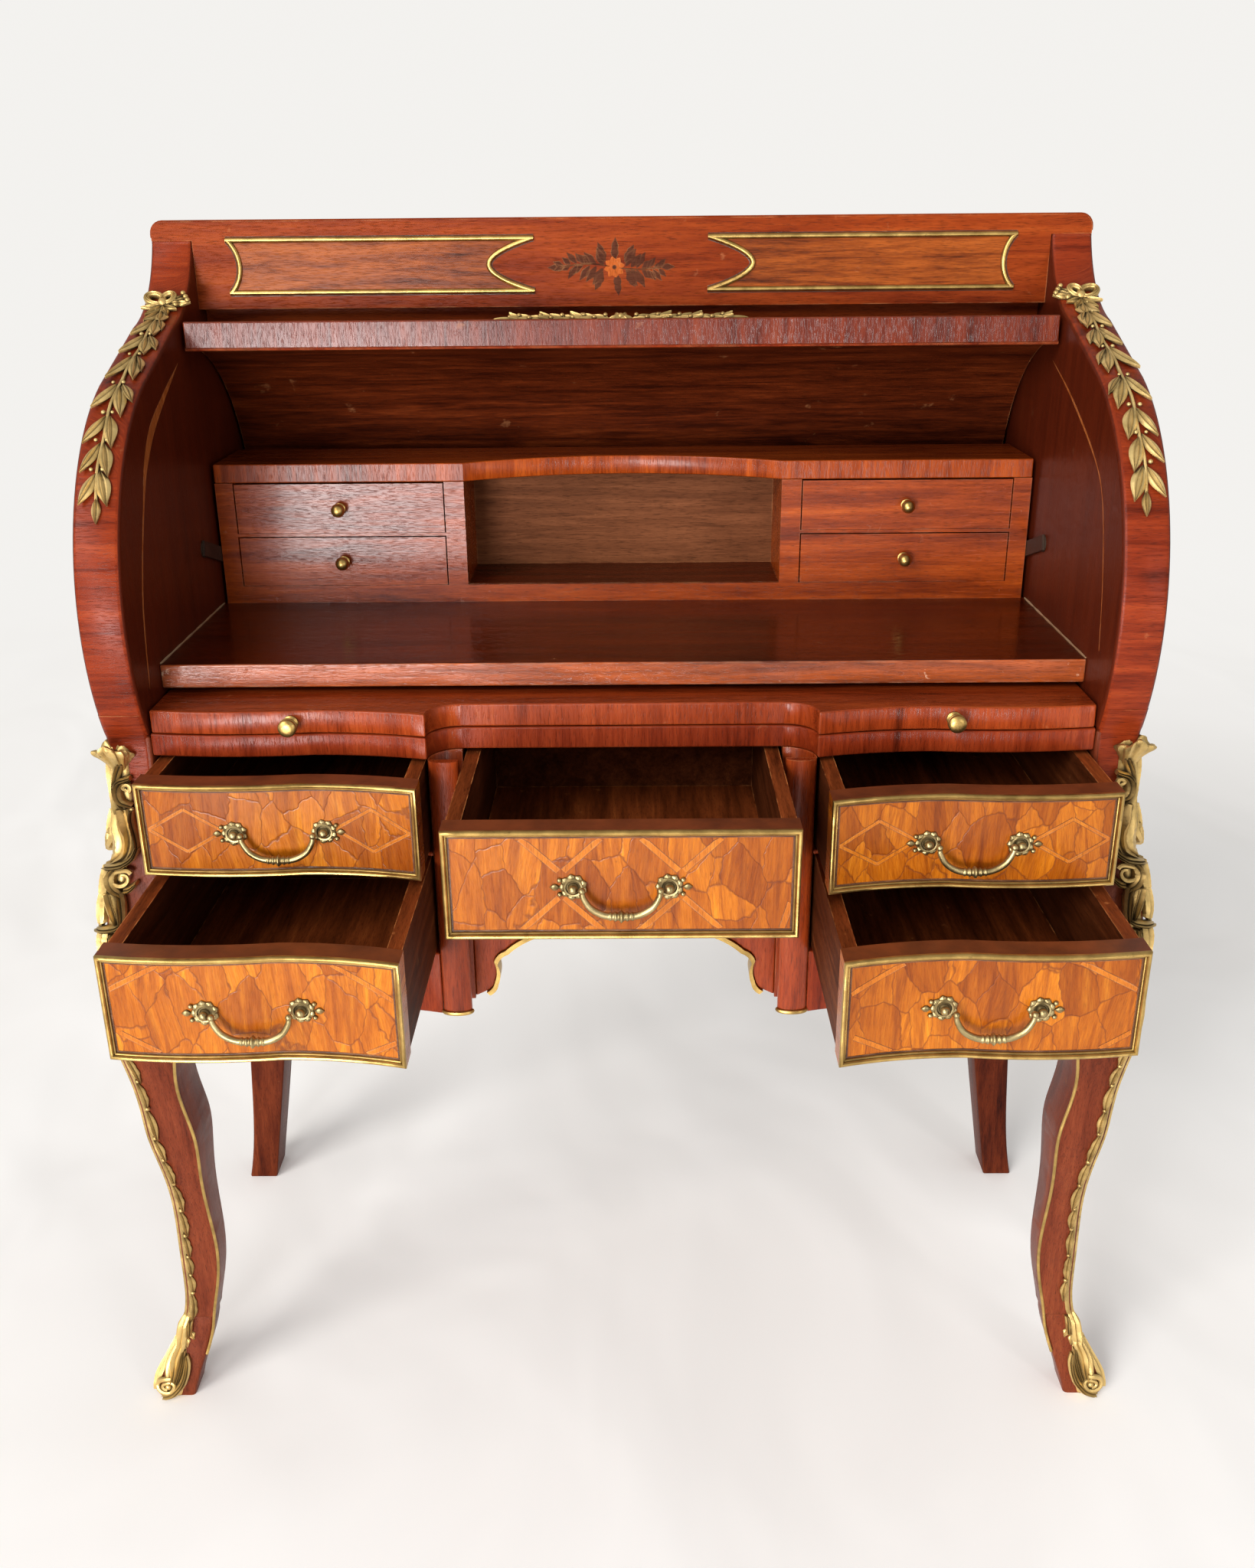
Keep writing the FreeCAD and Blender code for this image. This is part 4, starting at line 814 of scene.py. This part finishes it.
def frieze_sprig():
    low, high = mm_box("frieze_mouldings")
    mid_x, mid_z = -6, (low.z + high.z) / 2 - 3
    sprig, bloom, heart = Shape(), Shape(), Shape()
    rng = random.Random(11)

    def flat(shape, x, z, turn, long, wide, lobes=0, lift=0.25):
        leaf(shape, on_frieze, mid_x + x, mid_z + z, turn, long, wide, lift + 0.3, rib=0.1, lobes=lobes,
             blunt=0.85, steps=14, base=-0.3)

    for side, reach, rise in ((-1, 50, 3), (1, 44, -2)):
        stem = [(mid_x + side * reach * t, mid_z + rise * sin(t * pi), 0.0) for t in shares(10)]
        frond(sprig, on_frieze, stem, lambda u: 1.4, 0.6)
        count = 7
        for k in range(count):
            x = side * (10 + (reach - 14) * k / (count - 1))
            z = rise * sin(pi * k / count)
            size = 1.15 - 0.07 * k
            for way in (-1, 1):
                lean = way * (1.0 - 0.07 * k + rng.uniform(-0.25, 0.25))
                turn = lean if side > 0 else pi - lean
                flat(sprig, x, z, turn, (17 + rng.uniform(-3, 3)) * size, 7.8 * size, 2)
        flat(sprig, side * reach * 0.94, 0.0, 0.0 if side > 0 else pi, 16, 7, 2)
    for x, turn, long in SPRIG_TUFT:
        flat(sprig, x, 4 * sin(turn), turn, long, 9, 3)
    for ring, count, long in ((2.2, 8, 7.8), (0.4, 6, 5.4)):
        for turn in turns(count):
            turn += ring * 0.09
            flat(bloom, ring * cos(turn), ring * sin(turn), turn, long, 6.4, 0, 0.6 - ring * 0.1)
    lathe(heart, ((1.9, -0.3), (1.9, 1.2), (0.0, 1.3)), on_frieze(mid_x, mid_z, 0), sides=16)
    sprig.piece("frieze_sprig", CARCASS, "frieze_wood", SPRIG_WOOD)
    bloom.piece("frieze_flower", CARCASS, "frieze_wood", FLOWER_WOOD)
    heart.piece("frieze_flower_heart", CARCASS, "frieze_wood", SPRIG_WOOD)


frieze_face()
frieze_panels()
frieze_sprig()


# Lid: bead, lock plate and a strip of foliage

def lid_edge():
    low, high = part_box("lid_rail")
    bead, plate = Shape(), Shape()
    tube(bead, [Vector((low.x + (high.x - low.x) * t, low.y + 0.0022, low.z + 0.0004)) for t in shares(20)],
         lambda t: 1.7)
    bead.piece("lid_bead", "lid", "lid_wood", EDGE_WOOD)
    face, rear, top = low.z - 0.0003, high.y, low.z + 0.0006
    rows = []
    for x, near in ((-0.078, 0.0025), (-0.0765, 0.001), (0.0765, 0.001), (0.078, 0.0025)):
        near += low.y
        rows.append([Vector((x, y, z)) for y, z in ((near, face), (rear, face), (rear, top), (near, top))])
    plate.rings(rows)
    for x in (-0.058, -0.02, 0.02, 0.058):
        lathe(plate, ((2.2, 0.0), (2.0, 0.2), (0.0, 0.3)), (x, low.y + 0.006, face), (0, 0, -1), 10)
    plate.piece("lid_lock_plate", "lid", "steel", IRON)


def lid_foliage():
    low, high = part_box("lid_mount")
    up, reach, count = (0, 0, 1), high.x / MM, 9
    spray = Shape()

    def on_lid(a, b, h):
        return Vector((a * MM, low.y + 0.008 + b * 0.6 * MM, low.z + (h + 3 + max(0.0, b) * 0.4) * MM))

    for side in (-1, 1):
        ahead = 0.0 if side > 0 else pi
        for k in range(count):
            a = side * (10 + (reach - 30) * k / count)
            for lean in (0.42, -0.36):
                leaf(spray, on_lid, a, 0, ahead + lean * side, 19 - 0.6 * k, 6.8, 3, rib=0.4, lobes=2,
                     curl=2 * (k % 3), steps=8)
            ball(spray, on_lid(a + 4 * side, 4 * (-1) ** k, 3), 2.2, up)
        leaf(spray, on_lid, side * (reach - 22), 0, ahead, 21, 7, 3, rib=0.4, steps=8)
    for turn in turns(6):
        leaf(spray, on_lid, 0, 0, turn, 11, 8, 4, rib=0.3, steps=8)
    ball(spray, on_lid(0, 0, 3), 3.6, up)
    spray.piece("lid_foliage", "lid", "bronze", BRONZE, "lid_mount")


lid_edge()
lid_foliage()


# Garlands on the curved bands

def band(s):
    """Point and outward direction of the band's front edge, s metres down from the neck."""
    start, slope = Vector((0.200, 1.0135)), Vector((0.100, 0.9755))
    neck_centre, neck_round, neck_angle = Vector((0.1755, 1.1259)), 0.115, radians(-77.7)
    side_centre, side_round, side_angle = Vector((0.180, 0.790)), 0.202, radians(113.3)
    run = (slope - start).length
    if s < 0:
        t = neck_angle - s / neck_round
        out = -Vector((cos(t), sin(t)))
        p = neck_centre - out * neck_round
    elif s < run:
        ahead = (slope - start) / run
        out = Vector((ahead.y, -ahead.x))
        p = start + ahead * s
    else:
        t = side_angle + (s - run) / side_round
        out = Vector((cos(t), sin(t)))
        p = side_centre + out * side_round
    return Vector((FRONT + p.x, p.y)), out


GARLAND_TIERS = (
    # distance down the band, then lengths of the outer, inner and innermost leaf
    (-27, 26, 24, 0), (-8, 36, 34, 22), (24, 38, 36, 28), (62, 44, 47, 28),
    (113, 36, 42, 27), (152, 33, 35, 0), (181, 31, 33, 0), (208, 30, 32, 0),
)
# lean, width, shift across and curl of the outer, inner and innermost leaf
TIER_LEAVES = ((-0.42, 10, -1.2, 4), (0.25, 12.2, 1.4, 2.8), (0.54, 9.4, 3, 1))
KNOT = -40
# lean, length and half width of the two loops
KNOT_LOOPS = ((2.50, 13, 5), (-2.10, 17, 6.2))
KNOT_LEAVES = (
    # place along and across, lean, length, width, lobes, curl
    (3, 0, -1.25, 19, 8.5, 2, 3), (3, 0, 1.05, 17, 8, 2, 3), (3, 0, 0.42, 21, 7.8, 0, 3),
    (3, 0, -0.55, 22, 7.4, 0, 3), (1, 4, 1.62, 21, 7.2, 3, 2.4), (1, 4, 1.95, 19, 7.2, 3, 2.4),
    (1, 4, 2.25, 17, 7.2, 3, 2.4),
)


def garland(shape, bow, side):
    """A laurel hanging from a ribbon knot, each tier a few veined leaves and a berry."""
    middle = (INNER + CASE_HALF) / 2
    rng = random.Random(20 + side)

    def wrap(a, b, h):
        p, out = band(a * MM)
        p = p + out * (h * MM)
        return Vector((side * (middle - b * MM), p.x, p.y))

    for s, *lengths in GARLAND_TIERS:
        spread = 0.7 if s < 100 else 1.0
        for long, (lean, wide, shift, curl) in zip(lengths, TIER_LEAVES):
            if long:
                leaf(shape, wrap, s + rng.uniform(-2, 2), shift, lean * spread + rng.uniform(-0.05, 0.05),
                     long, wide * rng.uniform(0.92, 1.08), 3.8, rib=0.30, curl=curl, ribs=0.24, blunt=0.88,
                     steps=16)
        for b in (-4.4, 4.0):
            ball(shape, wrap(s - 2, b + rng.uniform(-0.8, 0.8), 2.6), rng.uniform(1.4, 2.0))
    leaf(shape, wrap, 229.5, 0.4, 0.03, 21.5, 7.8, 4.2, rib=0.3, curl=1.5, ribs=0.2, blunt=0.95)
    tube(shape, [wrap(KNOT + 10.5 * k, 0.8 * sin(k), 1.2) for k in range(27)], lambda t: 1.5, up=(1, 0, 0))
    ribbon_knot(bow, wrap)


def ribbon_knot(shape, wrap):
    """Two loops of ribbon, their folded ends and a sprig toward the frieze."""
    for lean, long, wide in KNOT_LOOPS:
        loop = []
        for t in shares(24):
            u, v = long * (1 - cos(2 * pi * t)) / 2, wide * sin(2 * pi * t)
            along, across = u * cos(lean) - v * sin(lean), u * sin(lean) + v * cos(lean)
            loop.append((KNOT + along, across, 2.2 + 2.4 * sin(pi * t)))
        frond(shape, wrap, loop, lambda u: 4.4 + 1.2 * sin(pi * u), 2.4, rib=0.2, ribs=0.16)
    for a, b, lean, long, wide, lobes, curl in KNOT_LEAVES:
        leaf(shape, wrap, KNOT + a, b, lean, long, wide, 3.4, rib=0.3, lobes=lobes, curl=curl, ribs=0.2)
    for a, b in ((-6, 20), (-11, 17), (-1, 22.5), (6, 13)):
        ball(shape, wrap(KNOT + a, b, 4.8), 2.4)
    ball(shape, wrap(KNOT, 0, 3), 4.8, (0, -0.5, 0.9), 0.8)


laurel, bows = Shape(), Shape()
for way in (-1, 1):
    garland(laurel, bows, way)
laurel.piece("laurel_garlands", CARCASS, "bronze", LAUREL_PAINTED_LIGHT, "garlands")
bows.piece("ribbon_knots", CARCASS, "bronze", BRONZE)


# Bronzes of the front legs

LEG_TOP, KNEE_TOP, STRIP_TOP, SHOE_TOP, SABOT_TOP = 0.699, 0.695, 0.516, 0.0845, 0.072
KNEE_FRONDS = (
    # points (along, across, lift), then widths at the start, the middle and the end
    (((16, -1, 3), (30, -3, 4), (46, -1, 4), (60, 3, 5)), (13, 11, 15)),
    (((17, 6, 3), (30, 3, 5), (44, 2, 5), (58, 7, 4)), (6, 5, 7)),
    (((29, 13, 5), (32, 6, 6), (41, 3, 6), (50, 5, 6), (54, 12, 5)), (4, 6, 4)),
    (((56, 4, 6), (70, 6, 7), (83, 9, 7), (95, 8, 7), (105, 1, 5)), (13, 19, 7)),
    (((57, 12, 6), (66, 12, 7), (81, 17, 8), (90, 19, 8)), (4, 5, 4)),
    (((88, 19, 8), (97, 16, 10), (103, 8, 10), (110, -3, 7)), (5, 6, 5)),
    (((60, -5, 4), (74, -5, 5), (86, -4, 5)), (5, 8, 5)),
    (((76, -3, 5), (88, -7, 6), (99, -11, 8)), (7, 10, 3)),
    (((108, -4, 5), (120, -5, 6), (133, -5, 6)), (9, 10, 8)),
    (((106, 4, 5), (116, 1, 7), (126, 4, 6), (132, 11, 5)), (6, 7, 5)),
    (((127, 12, 5), (125, 17, 7), (120, 22, 8)), (6, 6, 3)),
    (((129, 7, 6), (139, 10, 7), (149, 12, 7), (158, 13, 8)), (9, 10, 4)),
    (((131, 1, 5), (143, 5, 6), (156, 8, 6)), (7, 7, 3)),
    (((131, -5, 5), (144, -5, 6), (158, -2, 6)), (8, 9, 4)),
    (((156, 14, 6), (161, 4, 8), (165, -5, 7)), (4, 6, 4)),
    (((163, -1, 5), (176, -2, 5), (196, -1, 3)), (9, 10, 7)),
    (((166, 6, 4), (178, 6, 4), (192, 4, 2)), (5, 6, 3)),
)
# place along and across, first and last radius, rounds and starting angle
KNEE_SCROLLS = ((117, 9, 8.5, 3.6, 1.2, 2.2), (162, -9, 4.2, 1.6, 1.2, 0.6), (37, 9, 3.6, 1.6, 1.0, 0.4))
KNEE_BERRIES = ((56, 12), (60, -3), (108, 1), (131, 4), (133, -2), (160, 10))
# share of the way up the lip and radius there
LIP = ((0.0, 8.0), (0.3, 8.0), (0.55, 9.6), (0.75, 12.4), (0.86, 14.8), (0.95, 15.8), (1.03, 15.8),
       (1.09, 14.6), (1.11, 12.2), (1.05, 8.8), (0.90, 4.0))
SABOT_FRONDS = (
    # points and widths, as for the knee
    (((-15, -1, 3), (-5, 0, 4), (6, 1, 4), (17, 3, 3)), (6, 10, 7)),
    (((-12, 4, 2), (-3, 6, 3), (6, 7, 3)), (3, 5, 4)),
    (((5, 1, 1), (17, 3, 3), (30, 4, 4), (45, 8, 4), (55, 10, 4)), (6, 11, 8)),
    (((27, 13, 2), (38, 20, 4), (52, 22, 5), (64, 15, 5), (69, 5, 5)), (4, 8, 7)),
    (((12, -5, 1), (32, -4, 2), (48, -4, 3), (66, -3, 3)), (5, 8, 9)),
    (((22, 8, 2), (36, 13, 3), (50, 15, 3), (60, 13, 3)), (4, 6, 4)),
)


def section(name, side):
    """Box of a level cut through one side's part of a node: near x, far x, front y, rear y."""
    mesh = NODES[name].data
    ends = [[mesh.vertices[i].co for i in edge.vertices] for edge in mesh.edges]
    ends = [(a, b) for a, b in ends if a.x * side > 0 and a.z != b.z]

    def at(z):
        cut = [a.lerp(b, (z - a.z) / (b.z - a.z)) for a, b in ends if (a.z - z) * (b.z - z) <= 0]
        xs, ys = [abs(p.x) for p in cut], [p.y for p in cut]
        return min(xs), max(xs), min(ys), max(ys)

    return at


def leg_form(side):
    """The section of a leg and its shoe as one function of the level."""
    leg, shoe = section("front_leg_" + ("left" if side < 0 else "right"), side), section("sabots", side)
    steps = 63
    levels = [LEG_TOP * (1 - k / steps) for k in range(steps + 1)]
    cuts = [leg(z) if z > SHOE_TOP else shoe(max(z, 0.0004)) for z in levels]

    def at(z):
        t = (LEG_TOP - min(max(z, 0.0), LEG_TOP)) / LEG_TOP * steps
        i = min(int(t), steps - 1)
        return [p + (q - p) * (t - i) for p, q in zip(cuts[i], cuts[i + 1])]

    return at


def corner_wrap(side, at, top, rho):
    """Wrap for work laid over the rounded corner of a leg, from a level downward; b runs from the
    outer face (negative) over the corner to the front face."""
    bend = rho * pi / 4

    def wrap(a, b, h):
        z = top - a * MM
        _, far, front, _ = at(z)
        t = radians(45) + max(-bend, min(bend, b)) / rho
        x = (rho + h) * cos(t) - rho - max(0.0, b - bend)
        y = rho - (rho + h) * sin(t) + max(0.0, -bend - b)
        return Vector((side * (far + x * MM), front + y * MM, z))

    return wrap


def spiral(shape, wrap, a, b, r0, r1, rounds, start, thick, lift):
    """A scroll that winds inward and tapers."""
    line = []
    for u in shares(29):
        t, r = start + 2 * pi * rounds * u, r0 + (r1 - r0) * u
        line.append(wrap(a + r * cos(t), b + r * sin(t), lift))
    tube(shape, line, lambda u: thick * (1 - 0.35 * u), up=(0, -1, 0.2))


def leg_strip(shape, side, at):
    """A slim two-faced moulding with a leafy edge on the leg's corner."""
    run, leafy_run, overlap = 430, 405, 0.86
    wrap = corner_wrap(side, at, STRIP_TOP, 7.5)
    rng = random.Random(40 + side)
    frond(shape, wrap, [(run * t, -1.6, 0.0) for t in shares(100)], lambda u: 13, 2.2, rib=0.45, ribs=0.30,
          base=-3)
    a = 0.0
    while a < leafy_run:
        long = rng.uniform(24, 40)
        leaf(shape, wrap, a, 4, rng.uniform(0.02, 0.12), long, 8.6, 3.6, rib=0.35,
             lobes=rng.choice((0, 2, 3)), curl=rng.uniform(0.4, 2.2), ribs=0.24, blunt=1.1)
        ball(shape, wrap(a + 1.5, 5.8, 2.4), rng.uniform(1.8, 2.6))
        if rng.random() < 0.5:
            leaf(shape, wrap, a + 6, -6.2, rng.uniform(-0.08, 0.0), long * 0.9, 5.5, 1.8, rib=0.3, lobes=2)
        a += long * overlap


def fillet(shape, side, at):
    """Thin brass line on the inner front corner of a leg."""
    line = []
    for z in (STRIP_TOP - 0.470 * t for t in shares(47)):
        near, _, front, _ = at(z)
        line.append(Vector((side * (near + 0.0012), front + 0.0004, z)))
    tube(shape, line, lambda t: 1.5, up=(1, 0, 0))


def knee(shape, side, at):
    """Acanthus in overlapping tiers under a ruffled lip, laid over the top of a front leg."""
    wrap = corner_wrap(side, at, KNEE_TOP, 10)
    frond(shape, wrap, [(10 + 4.8 * k, 1, 0) for k in range(38)], lambda u: 21 - 6 * u, 3.5, rib=0.1)
    fronds(shape, wrap, KNEE_FRONDS, steps=7, thick=4.5, rib=0.16, ribs=0.48, notch=0.10)
    for scroll in KNEE_SCROLLS:
        spiral(shape, wrap, *scroll, thick=2.4, lift=7)
    for a, b in KNEE_BERRIES:
        ball(shape, wrap(a, b, 6.5), 2.2)
    _, far, front, _ = at(KNEE_TOP)
    foot = Vector((side * (far - 0.007), front + 0.004, KNEE_TOP - 0.031))
    rows = []
    for t, r in LIP:
        row = []
        for u in turns(60):
            fold = 0.05 * cos(4 * u + 0.4) + 0.06 * cos(9 * u) + 0.055 * cos(16 * u)
            wavy = r * (1 + fold * min(1.0, t * 1.1))
            drop = 1.6 * cos(5 * u + 2.0) * t + t * t * (3.4 - 6.0 * abs(cos(u)) ** 1.8)
            x, y, z = 4 * side * t + cos(u) * wavy, sin(u) * wavy * 0.80 - 9 * t, 26 * t + drop
            row.append(foot + Vector((x, y, z)) * MM)
        rows.append(row)
    shape.rings(rows)


def toe(shape, side, at):
    """The wooden foot inside the shoe, with rounded corners."""
    inset, r = 0.0056, 0.004
    rows = []
    for z in (0.0862 * (1 - t) for t in shares(8)):
        near, far, front, rear = at(z)
        x0, x1, y0, y1 = near + inset, far - inset, front + inset, rear - inset
        row = []
        for x, y, start in ((x1, y0, -90), (x1, y1, 0), (x0, y1, 90), (x0, y0, 180)):
            for t in (radians(start + 30 * j) for j in range(4)):
                row.append(Vector((side * (x + r * cos(t)), y + r * sin(t), z)))
        rows.append(row)
    shape.rings(rows)


def sabot(shape, side, at):
    """The scrolled leaf cast over the toe of a leg."""
    def slimmer(z):
        near, far, front, rear = at(z)
        return near, far - 0.003, front + 0.002, rear

    wrap = corner_wrap(side, slimmer, SABOT_TOP, 9)
    ring = [(v, (2.2 + 0.6 * cos(v * 26)) * (1 - (2 * v - 1) ** 4)) for v in shares(16)]
    ring += [(v, -4) for v in (0.95, 0.5, 0.05)]
    rows = []
    for t in shares(20):
        a, low, high = 12 + 59.6 * t, -7 - 4 * t, 5 + 21 * min(1.0, 1.6 * t) - 6 * t ** 4
        rows.append([wrap(a, low + (high - low) * v, h) for v, h in ring])
    shape.rings(rows)
    fronds(shape, wrap, SABOT_FRONDS, steps=8, thick=4, rib=0.12, ribs=0.45)
    eye = (57.5, 8)
    spiral(shape, wrap, *eye, 9.2, 3, 1.5, 3.0, thick=2.7, lift=6)
    ball(shape, wrap(*eye, 5), 3.6)
    for a, b, lean in ((-2, 2, 0.2), (2, 6, 0.7), (6, -3, -0.3), (9, 5, 0.5)):
        leaf(shape, wrap, a, b, lean, 12, 6.2, 3, rib=0.3, lobes=2, curl=1, ribs=0.15, steps=8)


leg_forms = {way: leg_form(way) for way in (-1, 1)}
for make, name, slot, material, replaced in (
        (leg_strip, "leg_foliage", "bronze", STRIP_BRONZE_PAINTED_SHADE, ["leg_strips"]),
        (fillet, "leg_fillets", "brass", BRASS, []),
        (knee, "knee_acanthus", "bronze", BRONZE, ["knee_mounts"]),
        (sabot, "scrolled_sabots", "bronze", SHOE_BRONZE, ["sabots"]),
        (toe, "leg_toes", "leg_wood", LEG_WOOD, [])):
    shape = Shape()
    for way, form in leg_forms.items():
        make(shape, way, form)
    shape.piece(name, CARCASS, slot, material, *replaced)


# Rounded faces of the posts beside the kneehole, beaded at the foot

def posts():
    rounds, beads = Shape(), Shape()
    bulge = 0.0058
    for word in ("left_divider", "right_divider"):
        low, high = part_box(word)
        middle, half = (low.x + high.x) / 2, (high.x - low.x) / 2 - 0.0004
        curve = [Vector((middle + half * cos(pi * t), low.y - bulge * sin(pi * t), 0.0)) for t in shares(14)]
        loop = curve + [Vector((middle + half * way, low.y + 0.002, 0.0)) for way in (-1, 1)]
        rounds.rings([[p + Vector((0, 0, low.z + 0.0008 + (high.z - low.z - 0.0016) * t)) for p in loop]
                      for t in shares(6)])
        tube(beads, [p + Vector((0, -0.0004, low.z + 0.0026)) for p in curve], lambda t: 2.1)
    rounds.piece("post_rounds", CARCASS, "case_wood", POST_WOOD)
    beads.piece("post_beads", CARCASS, "brass", BRASS)


def board_joints():
    """Pale lines where the desk board meets the walls."""
    low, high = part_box("desk_board")
    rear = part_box("fitment_frame")[0].y
    shape = Shape()
    for side in (-1, 1):
        line = [Vector((side * (INNER - 0.0004), low.y + 0.003 + (rear - low.y - 0.004) * t, high.z + 0.0002))
                for t in shares(24)]
        tube(shape, line, lambda t: 0.7 + 0.5 * sin(19 * t) ** 2, 6, (1, 0, 0))
    shape.piece("board_joints", CARCASS, "case_wood", PALE_WOOD)


def necks():
    """Skins that carry the bands down to the legs."""
    r, deep, skin, seam, fade = 0.005, 0.020, 0.0004, 0.7005, 0.025
    shape = Shape()
    for word, side in (("left", -1), ("right", 1)):
        leg, wall = section("front_leg_" + word, side), section(word + "_side", side)
        rows = []
        for z in (0.722, 0.712, 0.704, 0.699, 0.690, 0.680, 0.668, 0.655):
            near, far, front, _ = wall(z) if z > seam else leg(z)
            far = max(far, CASE_HALF - 0.0035 * min(1.0, max(0.0, (seam - z) / fade)))
            near, far, front = near + 0.0006, far + skin, front - skin
            row = [Vector((side * far, front + deep, z))]
            for x, start in ((far - r, 0), (near + r, 90)):
                for t in (radians(start + 22.5 * j) for j in range(5)):
                    row.append(Vector((side * (x + r * cos(t)), front + r - r * sin(t), z)))
            row.append(Vector((side * near, front + deep, z)))
            rows.append(row)
        shape.rings(rows)
    shape.piece("band_necks", CARCASS, "case_wood", BAND_WOOD)


WALL_WEAR = (
    # side, greatest half width in metres, then places behind the front plane and levels along the line
    (-1, 0.0052, ((0.196, 0.982), (0.144, 0.958), (0.103, 0.936), (0.076, 0.910), (0.061, 0.8845),
                  (0.042, 0.847), (0.026, 0.806), (0.018, 0.763), (0.015, 0.737))),
    (1, 0.0012, ((0.2355, 0.975), (0.165, 0.9495), (0.083, 0.910), (0.050, 0.878), (0.028, 0.819),
                 (0.017, 0.764))),
)


def wall_wear():
    """Worn lines of the lid's path on the inner walls."""
    shape = Shape()
    for side, broad, marks in WALL_WEAR:
        line = smooth_line([(0, FRONT + y, z) for y, z in marks], 6)
        rows = []
        for i, (p, t) in enumerate(zip(line, shares(len(line) - 1))):
            ahead = heading(line, i)
            swell = 0.20 + 0.80 * exp(-((t - 0.27) / 0.17) ** 2)
            taper = min(1.0, 14 * t, 14 * (1 - t) + 0.05)
            over = Vector((0, -ahead.z, ahead.y)) * (broad * swell * taper)
            rows.append([Vector((side * (INNER - lift), 0, 0)) + p + over * way
                         for way, lift in ((-1, 0.0002), (1, 0.0002), (1, -0.0004), (-1, -0.0004))])
        shape.rings(rows)
    shape.piece("wall_wear", CARCASS, "case_wood", WORN_WOOD)


posts()
board_joints()
necks()
wall_wear()


# Stage

BACKDROP = (0.90, 0.885, 0.86)


def floor():
    """A pale floor that passes into the backdrop's colour far from the desk."""
    mesh = bpy.data.meshes.new("floor")
    size = 30.0
    corners = [(-size, -size, 0), (size, -size, 0), (size, size, 0), (-size, size, 0)]
    mesh.from_pydata(corners, [], [(0, 1, 2, 3)])
    g = Graph("pale_floor", Specular_IOR_Level=0.2, Emission_Color=BACKDROP, Emission_Strength=0.09)
    folds = g.noise(g.stretch(g.place(), (1.0, 0.55, 1.0), (0, 0, 0.4)), 3.0, 2.5, 0.45, 0.5)
    colour = g.ramp(folds, [(0.35, (0.93, 0.92, 0.91)), (0.65, (0.97, 0.965, 0.96))])
    mesh.materials.append(g.finish(colour, 0.8, folds, 0.35, 0.05))
    away = g.node("VectorMath", {0: g.place()}, operation="LENGTH")
    fade = g.span(away.outputs["Value"], 1.0, 4.2)
    fade.node.interpolation_type = "SMOOTHSTEP"
    glow = g.node("Emission", {"Color": BACKDROP})
    blend = g.node("MixShader", {0: fade, 1: g.shader.outputs[0], 2: glow.outputs[0]})
    g.feed(g.tree.nodes["Material Output"].inputs["Surface"], blend.outputs[0])
    add("floor", mesh)


def surroundings():
    """Soft light from all round, and a plain backdrop for the camera."""
    world = bpy.data.worlds.new("studio")
    world.use_nodes = True
    tree = world.node_tree
    light, backdrop = tree.nodes["Background"], tree.nodes.new("ShaderNodeBackground")
    light.inputs["Color"].default_value = (1.0, 0.985, 0.96, 1.0)
    light.inputs["Strength"].default_value = 0.52
    backdrop.inputs["Color"].default_value = (*BACKDROP, 1.0)
    path = tree.nodes.new("ShaderNodeLightPath")
    mix = tree.nodes.new("ShaderNodeMixShader")
    for output, socket in ((path.outputs["Is Camera Ray"], mix.inputs[0]), (light.outputs[0], mix.inputs[1]),
                           (backdrop.outputs[0], mix.inputs[2]),
                           (mix.outputs[0], tree.nodes["World Output"].inputs["Surface"])):
        tree.links.new(output, socket)
    bpy.context.scene.world = world


def lamp(name, kind, place, target, **settings):
    """A light aimed at a target."""
    ahead = Vector(target) - Vector(place)
    put(add(name, put(bpy.data.lights.new(name, kind), **settings)), location=place,
        rotation_euler=ahead.to_track_quat("-Z", "Y").to_euler())


def camera():
    """The photograph's view: place, pitch down, yaw, roll and focal length in pixels."""
    place = Vector((0.0126, FRONT - 1.110, 1.1007))
    pitch, yaw, roll = (radians(v) for v in (21.8794, -0.4367, 0.4985))
    focal, tall = 1849.2, 2048
    ahead = Vector((sin(yaw) * cos(pitch), cos(yaw) * cos(pitch), -sin(pitch)))
    right = Vector((cos(yaw), -sin(yaw), 0.0))
    down = ahead.cross(right)
    level = right * cos(roll) + down * sin(roll)
    below = down * cos(roll) - right * sin(roll)
    sensor = 36.0
    obj = add("camera", put(bpy.data.cameras.new("camera"), sensor_width=sensor, lens=sensor * focal / tall))
    obj.matrix_world = Matrix.Translation(place) @ Matrix((level, -below, -ahead)).transposed().to_4x4()
    bpy.context.scene.camera = obj


DESK_MIDDLE = (0.0, 0.1, 0.75)
floor()
surroundings()
lamp("window", "SUN", (-2.1, -2.4, 2.3), (0.0, 0.0, 0.6), energy=2.1, angle=radians(32),
     color=(1.0, 0.97, 0.93))
lamp("left_panel", "AREA", (-0.95, -3.0, 0.50), DESK_MIDDLE, shape="RECTANGLE", size=1.0, size_y=1.0,
     energy=85.0)
lamp("fill", "AREA", (2.0, -2.6, 1.2), DESK_MIDDLE, shape="RECTANGLE", size=0.5, size_y=1.6,
     energy=13.0)
camera()
bpy.context.scene.view_settings.view_transform = "Standard"
